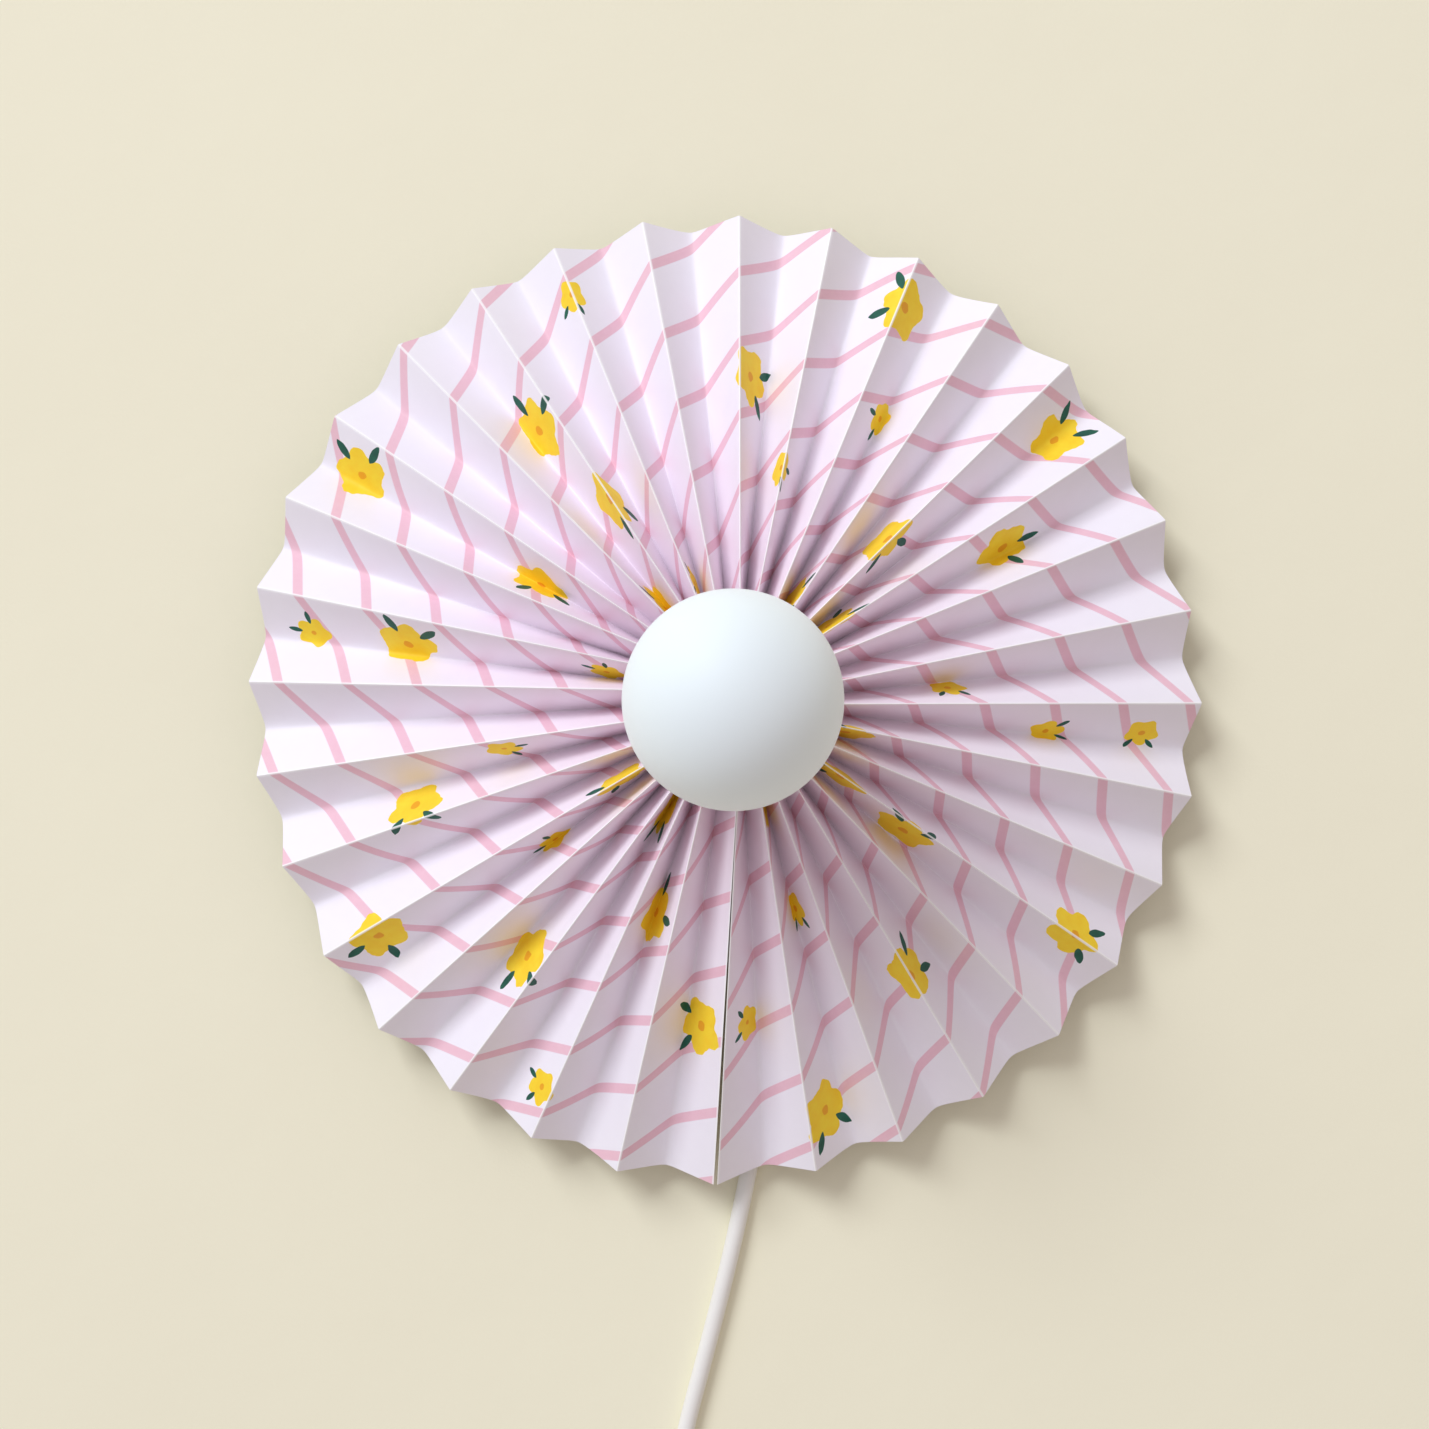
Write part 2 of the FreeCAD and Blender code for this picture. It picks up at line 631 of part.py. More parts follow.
def make_nipple_and_nut():
    """Threaded tube from the cover into the lampholder, and its nut under the cover."""
    bore = "(nipple_bore / 2)"
    outer = "(nipple_diameter / 2)"
    revolved(
        "threaded_nipple",
        [
            (bore, "nipple_bottom"),
            (outer, "nipple_bottom"),
            (outer, "nipple_top"),
            (bore, "nipple_top"),
        ],
    )
    prism = DOC.addObject("Part::Prism", "Prism")
    prism.Polygon = 6
    bind(prism, Circumradius="nut_across_flats / (2 * cos(30))", Height="nut_thickness")
    place(prism, z="nut_bottom")
    hole = cylinder("nipple_diameter + 2 * static_clearance", "nut_thickness", z="nut_bottom")
    node(cut_away(prism, hole), "nipple_nut")


def make_cord_grip():
    """Saddle that clamps the cord on the wall plate, and its two screws."""
    top = "(plate_thickness + grip_height)"
    saddle = box("grip_width", "grip_length", "grip_height", y="grip_centre_y", z="plate_thickness")
    end = "grip_centre_y + grip_length / 2"
    channel = cylinder(
        "cord_diameter + 2 * static_clearance", "grip_length", "0", end, "cord_entry_height", AGAINST_Y
    )
    holes = [
        cylinder(
            "grip_screw_diameter + 2 * static_clearance",
            "grip_height",
            f"{side} * grip_screw_spacing / 2",
            "grip_centre_y",
            "plate_thickness",
        )
        for side in (1, -1)
    ]
    node(cut_away(saddle, channel, *holes), "cord_grip")
    grouped(
        "grip_screws",
        [
            slotted_screw(
                "grip_screw_diameter",
                "plate_thickness + grip_height",
                "grip_screw_head",
                "grip_screw_diameter / 2",
                f"{side} * grip_screw_spacing / 2",
                "grip_centre_y",
                top,
            )
            for side in (1, -1)
        ],
    )


def make_sleeve(label, wide, narrow, length, flanges=None):
    """Tapered rubber sleeve round the cord, along +Z from its wide end.

    flanges gives (flange diameter, groove diameter, wall) where the sleeve snaps into a wall.
    """
    bore = "(cord_diameter / 2)"
    corners = [(bore, length), (bore, "0")]
    if flanges:
        flange, groove, wall = flanges
        corners = [
            (bore, length),
            (bore, f"-({wall}) - cover_wall"),
            (f"{flange} / 2", f"-({wall}) - cover_wall"),
            (f"{flange} / 2", f"-({wall})"),
            (f"{groove} / 2", f"-({wall})"),
            (f"{groove} / 2", "0"),
            (f"{flange} / 2", "0"),
            (f"{flange} / 2", "cover_wall"),
            (f"{wide} / 2", "cover_wall"),
        ]
    else:
        corners.append((f"{wide} / 2", "0"))
    corners.append((f"{narrow} / 2", length))
    return revolved(label, corners)


# ---------------------------------------------------------------------------
# Lampholder
# ---------------------------------------------------------------------------

def make_holder_cap():
    """Lower half of the lampholder: a threaded collar that opens into a dome."""
    hole = "(nipple_diameter / 2 + static_clearance)"
    collar = "(cap_collar_diameter / 2)"
    outer = "(cap_diameter / 2)"
    revolved(
        "holder_cap",
        [
            (hole, "cover_height"),
            (collar, "cover_height"),
            (collar, "cap_collar_top"),
            (outer, "cap_shoulder"),
            (outer, "shoulder_bottom"),
            (f"{outer} - cap_wall", "shoulder_bottom"),
            (f"{outer} - cap_wall", "cap_shoulder"),
            (f"{collar} - cap_wall", "cap_collar_top"),
            (hole, "cap_collar_top"),
        ],
        {2: ("cap_dome_curve * cap_dome_height", -1), 6: ("cap_dome_curve * cap_dome_height", 1)},
    )


def make_holder_body():
    """Upper half of the lampholder: a shoulder for the rear washer and the threaded skirt."""
    skirt = "(skirt_diameter / 2)"
    bore = "(skirt_bore / 2)"
    revolved(
        "holder_body",
        [
            (bore, "shoulder_bottom"),
            ("shoulder_diameter / 2", "shoulder_bottom"),
            ("shoulder_diameter / 2", "shoulder_top"),
            (skirt, "shoulder_top"),
            (skirt, "holder_rim"),
            (bore, "holder_rim"),
        ],
    )


def make_holder_inside():
    """Contact block, screw shell, centre contact and the two terminals with their screws."""
    block = "(skirt_bore / 2 - static_clearance)"
    revolved(
        "contact_block",
        [("0", "block_bottom"), (block, "block_bottom"), (block, "block_top"), ("0", "block_top")],
    )
    shell = "(shell_bore / 2)"
    shell_top = "(holder_rim - shell_below_rim)"
    revolved(
        "screw_shell",
        [
            (shell, "block_top"),
            (f"{shell} + shell_wall", "block_top"),
            (f"{shell} + shell_wall", shell_top),
            (shell, shell_top),
        ],
    )
    contact = "(contact_diameter / 2)"
    revolved(
        "centre_contact",
        [
            ("0", "block_top"),
            (contact, "block_top"),
            (f"{contact} - contact_height", "block_top + contact_height"),
            ("0", "block_top + contact_height"),
        ],
    )
    sides = ("terminal_spacing / 2", "-terminal_spacing / 2")
    grouped(
        "terminals",
        [
            box("terminal_width", "terminal_width", "terminal_height", x=x, z="terminal_bottom")
            for x in sides
        ],
    )
    grouped(
        "terminal_screws",
        [
            slotted_screw(
                "terminal_width / 3",
                "core_diameter / 4",
                "terminal_width / 2",
                "terminal_width / 4",
                x,
                "-terminal_width / 2",
                "terminal_bottom + terminal_height / 2",
                AGAINST_Y,
            )
            for x in sides
        ],
    )


# ---------------------------------------------------------------------------
# Washers and ring that clamp the shade
# ---------------------------------------------------------------------------

def make_washers():
    """Two dished washers that lie along the valleys behind and the mountains in front."""
    revolved(
        "rear_washer",
        [
            ("rear_washer_bore / 2", "shoulder_top"),
            ("valley_hub_radius", "shoulder_top"),
            ("valley_hub_radius + washer_reach", "shoulder_top - washer_reach * valley_fall"),
            ("valley_hub_radius + washer_reach", "rear_washer_top - washer_reach * valley_fall"),
            ("valley_hub_radius", "rear_washer_top"),
            ("rear_washer_bore / 2", "rear_washer_top"),
        ],
    )
    revolved(
        "front_washer",
        [
            ("front_washer_bore / 2", "front_washer_bottom"),
            ("mountain_hub_radius", "front_washer_bottom"),
            (
                "mountain_hub_radius + washer_reach",
                "front_washer_bottom - washer_reach * mountain_fall",
            ),
            (
                "mountain_hub_radius + washer_reach",
                "front_washer_top - washer_reach * mountain_fall",
            ),
            ("mountain_hub_radius", "front_washer_top"),
            ("front_washer_bore / 2", "front_washer_top"),
        ],
    )


def make_shade_ring():
    """Ring with an inside thread, a flange with finger notches and a collar inside the pleats."""
    bore = "(skirt_diameter / 2 + thread_clearance)"
    body = revolved(
        "shade_ring",
        [
            (bore, "ring_bottom - ring_collar_depth"),
            ("ring_collar_diameter / 2", "ring_bottom - ring_collar_depth"),
            ("ring_collar_diameter / 2", "ring_bottom"),
            ("ring_diameter / 2", "ring_bottom"),
            ("ring_diameter / 2", "ring_top"),
            (bore, "ring_top"),
        ],
    )
    sketch = new_sketch(body, "XY_Plane", "ring_top")
    draw_circle(sketch, "ring_diameter / 2 + grip_notch_diameter / 4", "0", "grip_notch_diameter")
    notch = cut_pocket(body, sketch, "ring_thickness")
    pattern = body.newObject("PartDesign::PolarPattern", "PolarPattern")
    pattern.Originals = [notch]
    pattern.Axis = (sketch, ["N_Axis"])
    pattern.Angle = 360
    bind(pattern, Occurrences="grip_notch_count")
    body.Tip = pattern
    DOC.recompute()


# ---------------------------------------------------------------------------
# Pleated shade
# ---------------------------------------------------------------------------

def fold_points(end):
    """The fold ends on the paper's mid surface at "hub" or "rim", from one seam edge to the other."""
    count = int(value("pleat_count"))
    mountain = (value(f"mountain_{end}_radius"), value(f"mountain_{end}_height"))
    valley = (value(f"valley_{end}_radius"), value(f"valley_{end}_height"))
    gap = value(f"seam_gap_{end}") / mountain[0]
    step = (2 * math.pi - gap) / (2 * count)
    start = math.radians(value("seam_angle")) + gap / 2
    points = []
    for fold in range(2 * count + 1):
        radius, height = valley if fold % 2 else mountain
        angle = start + fold * step
        points.append(Vector(radius * math.cos(angle), radius * math.sin(angle), height))
    return points


def panel_normals(here, there):
    """Each panel's unit normal at one of its ends, pointing into the room."""
    normals = []
    for panel in range(len(here) - 1):
        across = here[panel + 1] - here[panel]
        along = (there[panel] - here[panel]) + (there[panel + 1] - here[panel + 1])
        normal = across.cross(along).normalize()
        normals.append(normal if normal.z > 0 else normal * -1)
    return normals


def paper_edge(here, there, thickness):
    """The paper's front and back outlines at one end: one or two points for each fold.

    A fold is sharp on its inside, pressed no deeper than the crease, and has a narrow flat
    along its outside, as creased paper has.
    """
    half = thickness / 2
    normals = panel_normals(here, there)
    front, back = [], []
    for fold, point in enumerate(here):
        before = normals[max(fold - 1, 0)]
        after = normals[min(fold, len(normals) - 1)]
        flat = [point + before * half, point + after * half]
        under = [point - before * half, point - after * half]
        mitre = (before + after) * (half / (1 + before.dot(after)))
        mitre *= min(1.0, value("crease_depth") / mitre.Length)
        if fold in (0, len(here) - 1):
            front.append(flat[:1])
            back.append(under[:1])
        elif fold % 2:
            front.append([point + mitre])
            back.append(under)
        else:
            front.append(flat)
            back.append([point - mitre])
    return front, back


def ruled(start_a, end_a, start_b, end_b):
    """The ruled face between the lines a and b."""
    line_a = Part.LineSegment(start_a, end_a).toShape()
    line_b = Part.LineSegment(start_b, end_b).toShape()
    return Part.makeRuledSurface(line_a, line_b, 1)


def skin_faces(hub, rim):
    """Faces of one side of the paper: a twisted panel between folds, a flat along each crease."""
    faces = []
    for fold, (inner, outer) in enumerate(zip(hub, rim)):
        if len(inner) == 2:
            faces.append(ruled(inner[0], inner[1], outer[0], outer[1]))
        if fold + 1 < len(hub):
            faces.append(ruled(inner[-1], hub[fold + 1][0], outer[-1], rim[fold + 1][0]))
    return faces


def edge_faces(front, back):
    """Faces along the paper's cut edge at one end."""
    faces = []
    for fold, (upper, lower) in enumerate(zip(front, back)):
        if len(upper) + len(lower) == 3:
            faces.append(Part.Face(Part.makePolygon(upper + lower + upper[:1])))
        if fold + 1 < len(front):
            faces.append(ruled(upper[-1], front[fold + 1][0], lower[-1], back[fold + 1][0]))
    return faces


def make_pleated_shade():
    """One strip of paper, folded into pleats, its panels twisting from the hub to the rim."""
    hub, rim = fold_points("hub"), fold_points("rim")
    thickness = value("paper_thickness")
    hub_front, hub_back = paper_edge(hub, rim, thickness)
    rim_front, rim_back = paper_edge(rim, hub, thickness)
    faces = skin_faces(hub_front, rim_front) + skin_faces(hub_back, rim_back)
    faces += edge_faces(hub_front, hub_back) + edge_faces(rim_front, rim_back)
    for fold in (0, -1):
        faces.append(
            ruled(
                hub_front[fold][0], hub_back[fold][0], rim_front[fold][0], rim_back[fold][0]
            )
        )
    shell = Part.Shell(faces)
    shell.sewShape()
    paper = Part.Solid(shell)
    paper.fix(1e-4, 1e-4, 1e-3)
    shade = DOC.addObject("Part::Feature", "PleatedShade")
    shade.Shape = paper
    node(shade, "pleated_shade")
    flat_sheet = 2 * value("pleat_count * panel_width") * (hub[0] - rim[0]).Length * thickness
    print("shade volume", round(paper.Volume), "flat sheet", round(flat_sheet))


def make_gathering_thread():
    """Thread that runs through all the panels and draws the hub together."""
    thread = DOC.addObject("Part::Torus", "Torus")
    bind(thread, Radius1="hub_radius + thread_inset * cos(slope)", Radius2="thread_diameter / 2")
    place(thread, z="hub_height - thread_inset * sin(slope)")
    node(thread, "gathering_thread")


# ---------------------------------------------------------------------------
# Globe bulb
# ---------------------------------------------------------------------------

def make_bulb():
    """Opal globe, housing, screw cap, insulator, tip contact and LED board."""
    neck = "(globe_neck_diameter / 2)"
    globe = "(globe_diameter / 2)"
    inner_globe = "(globe_diameter / 2 - globe_wall)"
    inner_neck = f"({neck} - globe_wall)"
    inner_drop = f"sqrt({inner_globe}^2 - {inner_neck}^2)"
    revolved(
        "bulb_globe",
        [
            (neck, "globe_neck"),
            ("0", f"globe_centre + {globe}"),
            ("0", f"globe_centre + {inner_globe}"),
            (inner_neck, f"globe_centre - {inner_drop}"),
        ],
        {0: (globe, -1), 2: (inner_globe, 1)},
    )
    cap_inside = "(bulb_cap_diameter / 2 - bulb_cap_wall)"
    revolved(
        "bulb_housing",
        [
            ("0", "bulb_tip + insulator_top"),
            (cap_inside, "bulb_tip + insulator_top"),
            (cap_inside, "bulb_tip + bulb_cap_top"),
            ("neck_diameter / 2", "bulb_tip + bulb_cap_top"),
            ("neck_diameter / 2", "bulb_tip + bulb_cap_top + neck_height"),
            (neck, "globe_neck"),
            ("0", "globe_neck"),
        ],
        {4: ("globe_neck_diameter", 1)},
    )
    cap = "(bulb_cap_diameter / 2)"
    revolved(
        "bulb_screw_cap",
        [
            (cap_inside, "bulb_tip + bulb_cap_bottom"),
            (cap, "bulb_tip + bulb_cap_bottom"),
            (cap, "bulb_tip + bulb_cap_top"),
            (cap_inside, "bulb_tip + bulb_cap_top"),
        ],
    )
    revolved(
        "bulb_insulator",
        [
            ("0", "bulb_tip + tip_height"),
            ("tip_diameter / 2", "bulb_tip + tip_height"),
            (cap_inside, "bulb_tip + bulb_cap_bottom"),
            (cap_inside, "bulb_tip + insulator_top"),
            ("0", "bulb_tip + insulator_top"),
        ],
    )
    revolved(
        "bulb_tip_contact",
        [
            ("0", "bulb_tip"),
            ("tip_diameter / 3", "bulb_tip"),
            ("tip_diameter / 2", "bulb_tip + tip_height"),
            ("0", "bulb_tip + tip_height"),
        ],
    )
    board = cylinder("board_diameter", "board_thickness", z="globe_neck")
    turn = 360 / int(value("led_count"))
    leds = [
        box(
            "led_width",
            "led_width",
            "led_width / 3",
            f"led_circle / 2 * cos({turn * number})",
            f"led_circle / 2 * sin({turn * number})",
            "globe_neck + board_thickness",
        )
        for number in range(int(value("led_count")))
    ]
    node(joined(board, *leds), "led_board")


# ---------------------------------------------------------------------------
# Cords: straight runs joined by tangent arcs
# ---------------------------------------------------------------------------

ARC_SHARE = 0.45

LAMP_CORD = [
    (0, -98, 6.5),
    (19, -150, 3.5),
    (12.5, -190, 3.5),
    (-2.5, -232, 3.5),
    (-9.5, -270, 3.5),
    (-17, -308, 3.5),
    (-22, -339, 7.2),
    (-22, -368, 8),
]
SWITCH_CORD = [
    (-22, -430, 8),
    (-22, -456, 7.6),
    (-23, -485, 4.3),
    (-22, -520, 4.3),
]
PLUG_CORD = [
    (17, -559, 18.3),
    (41, -559.6, 17.8),
    (66, -559, 18),
]
CORE = [
    (1.6, -9, 6.5),
    (1.6, 0, 14.5),
    (1.6, 0, 31.5),
    (9, 0, 37.5),
    (9, 0, 40.6),
]


def rounded_route(name, points):
    """A wire along the points, each corner rounded as far as its two runs allow."""
    corners = [Vector(*point) for point in points]
    edges = []
    radii = []
    start = corners[0]
    for before, corner, after in zip(corners, corners[1:], corners[2:]):
        into, out = corner - before, after - corner
        reach = ARC_SHARE * min(into.Length, out.Length)
        radius = reach / math.tan(into.getAngle(out) / 2)
        into.normalize()
        out.normalize()
        first, last = corner - into * reach, corner + out * reach
        inwards = (out - into).normalize()
        crown = corner + inwards * (math.hypot(radius, reach) - radius)
        edges += [Part.LineSegment(start, first).toShape(), Part.Arc(first, crown, last).toShape()]
        radii.append(round(radius))
        start = last
    edges.append(Part.LineSegment(start, corners[-1]).toShape())
    print(name, "radii", radii, "length", round(sum(edge.Length for edge in edges), 1))
    return Part.Wire(edges)


def make_tube(label, points, diameter):
    """A round cord along a route."""
    route = rounded_route(label, points)
    radius = value(diameter) / 2
    start = Vector(*points[0])
    section = Part.Wire(Part.Circle(start, Vector(*points[1]) - start, radius).toShape())
    tube = route.makePipeShell([section], True, False)
    expected = math.pi * radius**2 * route.Length
    print(label, "volume", round(tube.Volume), "expected", round(expected))
    cord = DOC.addObject("Part::Feature", "Cord")
    cord.Shape = tube
    return node(cord, label)


def make_cords():
    """The mains cord's free lengths, the coil with its tie, and the conductors in the base."""
    inner_end, height = -value("cord_inside"), value("cord_entry_height")
    make_tube("lamp_cord", [(0, inner_end, height), *LAMP_CORD], "cord_diameter")
    make_tube("switch_cord", SWITCH_CORD, "cord_diameter")
    make_tube("plug_cord", PLUG_CORD, "cord_diameter")
    core = [(value("core_spacing / 2"), inner_end, height), *CORE]
    make_tube("live_core", core, "core_diameter")
    make_tube("neutral_core", [(-x, y, z) for x, y, z in core], "core_diameter")
    coil = revolved(
        "cord_coil",
        [
            ("coil_inner_radius", "tie_thickness"),
            ("coil_outer_radius", "tie_thickness"),
            ("coil_outer_radius", "coil_top"),
            ("coil_inner_radius", "coil_top"),
        ],
    )
    round_edges(coil, "coil_rounding", lambda edge: isinstance(edge.Curve, Part.Circle))
    place(coil, "coil_x", "coil_y")
    band = "(coil_columns * cord_diameter + 2 * tie_thickness)"
    middle = "coil_y + coil_mid_radius"
    outside = box("tie_width", band, "coil_top + tie_thickness", "coil_x", middle)
    inside = box(
        "2 * tie_width",
        "coil_columns * cord_diameter",
        "coil_top - tie_thickness",
        "coil_x",
        middle,
        "tie_thickness",
    )
    node(cut_away(outside, inside), "coil_tie")


# ---------------------------------------------------------------------------
# Cord switch
# ---------------------------------------------------------------------------

def make_switch_shell(label, floor, thickness):
    """A rounded half shell that stands on floor; the caller hollows and cuts it."""
    body = new_body(label)
    sketch = new_sketch(body, "XY_Plane", floor)
    across, along = "switch_width / 2", "switch_length / 2"
    corners = [(f"{x}{across}", f"{y}{along}") for x, y in (("-", "-"), ("", "-"), ("", ""), ("-", ""))]
    add_pad(body, draw_outline(sketch, corners), thickness)
    round_edges(body, "switch_rounding", is_upright)
    return body


def hollow_out(body, start, depth, along_normal):
    """Cuts the inside of a switch shell, leaving its walls."""
    sketch = new_sketch(body, "XY_Plane", start)
    across = "(switch_width / 2 - switch_wall)"
    along = "(switch_length / 2 - switch_wall)"
    chamfer = "(switch_rounding - switch_wall)"
    corners = [
        (f"-{across} + {chamfer}", f"-{along}"),
        (f"{across} - {chamfer}", f"-{along}"),
        (across, f"-{along} + {chamfer}"),
        (across, f"{along} - {chamfer}"),
        (f"{across} - {chamfer}", along),
        (f"-{across} + {chamfer}", along),
        (f"-{across}", f"{along} - {chamfer}"),
        (f"-{across}", f"-{along} + {chamfer}"),
    ]
    arcs = {corner: (chamfer, -1) for corner in (1, 3, 5, 7)}
    cut_pocket(body, draw_outline(sketch, corners, arcs), depth, along_normal)


def add_bosses(body, start, length):
    """Two screw bosses inside a switch shell, from start along Z."""
    for side in ("", "-"):
        sketch = new_sketch(body, "XY_Plane", start)
        draw_circle(sketch, f"{side}boss_offset_x", f"{side}boss_offset_y", "boss_diameter")
        add_pad(body, sketch, length)


def cut_cord_entry(body):
    """The cord's way in through both end walls, centred on the parting line."""
    sketch = new_sketch(body, "XZ_Plane")
    draw_circle(sketch, "0", "switch_split", "cord_diameter + 2 * static_clearance")
    cut_pocket(body, sketch, "2 * switch_length", midplane=True)


def cut_screw_holes(body, start, diameter, length):
    """Two holes up the bosses."""
    for side in ("", "-"):
        sketch = new_sketch(body, "XY_Plane", start)
        draw_circle(sketch, f"{side}boss_offset_x", f"{side}boss_offset_y", diameter)
        cut_pocket(body, sketch, length, along_normal=True)


def cut_trunnion_seat(body):
    """Half of the bearing for the rocker's pivot stubs."""
    sketch = new_sketch(body, "YZ_Plane")
    draw_circle(sketch, "0", "switch_split", "trunnion_diameter + 2 * thread_clearance")
    cut_pocket(body, sketch, "rocker_width + 2 * trunnion_length + 4 * static_clearance", midplane=True)


def add_pivot_walls(body, start, length):
    """Two walls beside the rocker that hold its pivot stubs."""
    inside = "(rocker_width / 2 + rocker_slot_gap)"
    outside = f"({inside} + trunnion_length)"
    for side in ("", "-"):
        sketch = new_sketch(body, "XY_Plane", start)
        near, far = f"{side}{inside}", f"{side}{outside}"
        half = "trunnion_diameter"
        draw_outline(sketch, [(near, f"-{half}"), (far, f"-{half}"), (far, half), (near, half)])
        add_pad(body, sketch, length)


def make_switch_shells():
    """Lower and upper shells, joined on the line of the cord and the rocker's pivot."""
    base = make_switch_shell("switch_base", "0", "switch_split")
    hollow_out(base, "switch_split", "switch_split - switch_wall", False)
    add_bosses(base, "switch_wall", "switch_split - switch_wall")
    add_pivot_walls(base, "switch_wall", "switch_split - switch_wall")
    cut_cord_entry(base)
    cut_trunnion_seat(base)
    cut_screw_holes(base, "0", "switch_screw_diameter + 2 * static_clearance", "switch_split")
    cut_screw_holes(
        base,
        "0",
        "switch_screw_head + 2 * static_clearance",
        "switch_screw_head_height + static_clearance",
    )
    top = make_switch_shell("switch_top", "switch_split", "switch_height - switch_split")
    depth = "switch_height - switch_split - switch_wall"
    hollow_out(top, "switch_split", depth, True)
    add_bosses(top, "switch_split", depth)
    add_pivot_walls(top, "switch_split", depth)
    cut_cord_entry(top)
    cut_trunnion_seat(top)
    cut_screw_holes(
        top,
        "switch_split",
        "switch_screw_diameter + 2 * static_clearance",
        "switch_screw_length + switch_screw_head_height - switch_split + static_clearance",
    )
    slot = new_sketch(top, "XY_Plane", "switch_height")
    across = "(rocker_width / 2 + rocker_slot_gap)"
    along = "(rocker_reach + rocker_swing_gap)"
    sides = (("-", "-"), ("", "-"), ("", ""), ("-", ""))
    draw_outline(slot, [(f"{x}{across}", f"{y}{along}") for x, y in sides])
    cut_pocket(top, slot, "switch_wall")
    for shell in (base, top):
        place(shell, "switch_x", "switch_y")


def make_switch_rocker():
    """Rocker with a dished finger face and a pivot stub on each side, tilted to one end."""
    body = new_body("switch_rocker")
    sketch = new_sketch(body, "YZ_Plane")
    draw_outline(
        sketch,
        [
            ("-rocker_foot", "-rocker_depth"),
            ("rocker_foot", "-rocker_depth"),
            ("rocker_reach", "rocker_rise"),
            ("0", "rocker_rise - rocker_dip"),
            ("-rocker_reach", "rocker_rise"),
        ],
    )
    add_pad(body, sketch, "rocker_width", midplane=True)
    sketch = new_sketch(body, "YZ_Plane")
    draw_circle(sketch, "0", "0", "trunnion_diameter")
    add_pad(body, sketch, "rocker_width + 2 * trunnion_length", midplane=True)
    tilt = Rotation(Vector(1, 0, 0), -value("rocker_rest_angle"))
    place(body, "switch_x", "switch_y", "switch_split", tilt)


def make_switch_screws():
    """Two screws up through the lower shell."""
    flip = Rotation(Vector(1, 0, 0), 180)
    grouped(
        "switch_screws",
        [
            slotted_screw(
                "switch_screw_diameter",
                "switch_screw_length",
                "switch_screw_head",
                "switch_screw_head_height",
                f"switch_x + {side} * boss_offset_x",
                f"switch_y + {side} * boss_offset_y",
                "switch_screw_head_height",
                flip,
            )
            for side in (1, -1)
        ],
    )


# ---------------------------------------------------------------------------
# Plug
# ---------------------------------------------------------------------------

def make_plug_pin(y):
    """One pin, with a thinner root inside the plug's body."""
    pin = cylinder("pin_diameter", "pin_length", "plug_face_x", y, "plug_axis_height", ALONG_X)
    root_end = "plug_face_x - pin_rooting"
    root = cylinder("pin_root_diameter", "pin_rooting", root_end, y, "plug_axis_height", ALONG_X)
    return joined(pin, root)


def make_plug():
    """Round two-pin plug: tapered body with grooved sides, two pins and a tapered sleeve."""
    face = "(plug_face_diameter / 2)"
    rear = "(plug_rear_diameter / 2)"
    body = revolved(
        "plug_body",
        [
            ("0", "0"),
            (rear, "0"),
            (face, "plug_length - plug_face_length"),
            (face, "plug_length"),
            ("0", "plug_length"),
        ],
        {1: ("plug_side_curve * plug_length", 1)},
    )
    for side in ("", "-"):
        sketch = new_sketch(body, "XY_Plane", "plug_length")
        near, far = f"{side}({face} - plug_slot_depth)", f"{side}({face} + plug_slot_depth)"
        half = "plug_slot_width / 2"
        draw_outline(sketch, [(f"-{half}", near), (half, near), (half, far), (f"-{half}", far)])
        cut_pocket(body, sketch, "plug_face_length")
    for side in ("", "-"):
        sketch = new_sketch(body, "XY_Plane", "plug_length")
        draw_circle(sketch, "0", f"{side}pin_spacing / 2", "pin_root_diameter + 2 * static_clearance")
        cut_pocket(body, sketch, "pin_rooting")
    place(body, "plug_back_x", "plug_y", "plug_axis_height", ALONG_X)
    grouped(
        "plug_pins",
        [make_plug_pin(f"plug_y + {side} * pin_spacing / 2") for side in (1, -1)],
    )
    sleeve = make_sleeve(
        "plug_strain_relief", "plug_relief_diameter", "relief_tip_diameter", "plug_relief_length"
    )
    place(sleeve, "plug_back_x", "plug_y", "plug_axis_height", AGAINST_X)


def make_strain_reliefs():
    """Sleeves where the cord leaves the base and the cord switch."""
    base = make_sleeve(
        "base_strain_relief",
        "relief_wide_diameter",
        "relief_tip_diameter",
        "relief_length",
        ("relief_flange_diameter", "relief_groove_diameter", "cover_wall + relief_groove_play"),
    )
    place(base, "0", "-cover_diameter / 2 - relief_offset", "cord_entry_height", AGAINST_Y)
    sizes = ("switch_relief_diameter", "relief_tip_diameter", "switch_relief_length")
    lamp_side = make_sleeve("switch_relief_lamp_side", *sizes)
    place(lamp_side, "switch_x", "switch_front_y", "switch_split", ALONG_Y)
    plug_side = make_sleeve("switch_relief_plug_side", *sizes)
    place(plug_side, "switch_x", "switch_back_y", "switch_split", AGAINST_Y)


# ---------------------------------------------------------------------------
# Build, check and write
# ---------------------------------------------------------------------------

def check_nodes():
    """Stops where a feature failed or a piece isn't a valid solid."""
    DOC.recompute()
    for thing in DOC.Objects:
        if {"Invalid", "Error"} & set(thing.State):
            raise ValueError(f"{thing.Label} failed: {thing.State}")
    for piece in NODES:
        shape = piece.Shape
        if shape.isNull() or not shape.isValid() or not shape.Solids:
            raise ValueError(f"{piece.Label} is not a valid solid")
        print(f"{piece.Label:26} {shape.Volume:12.1f} mm3, {len(shape.Solids)} solid(s)")


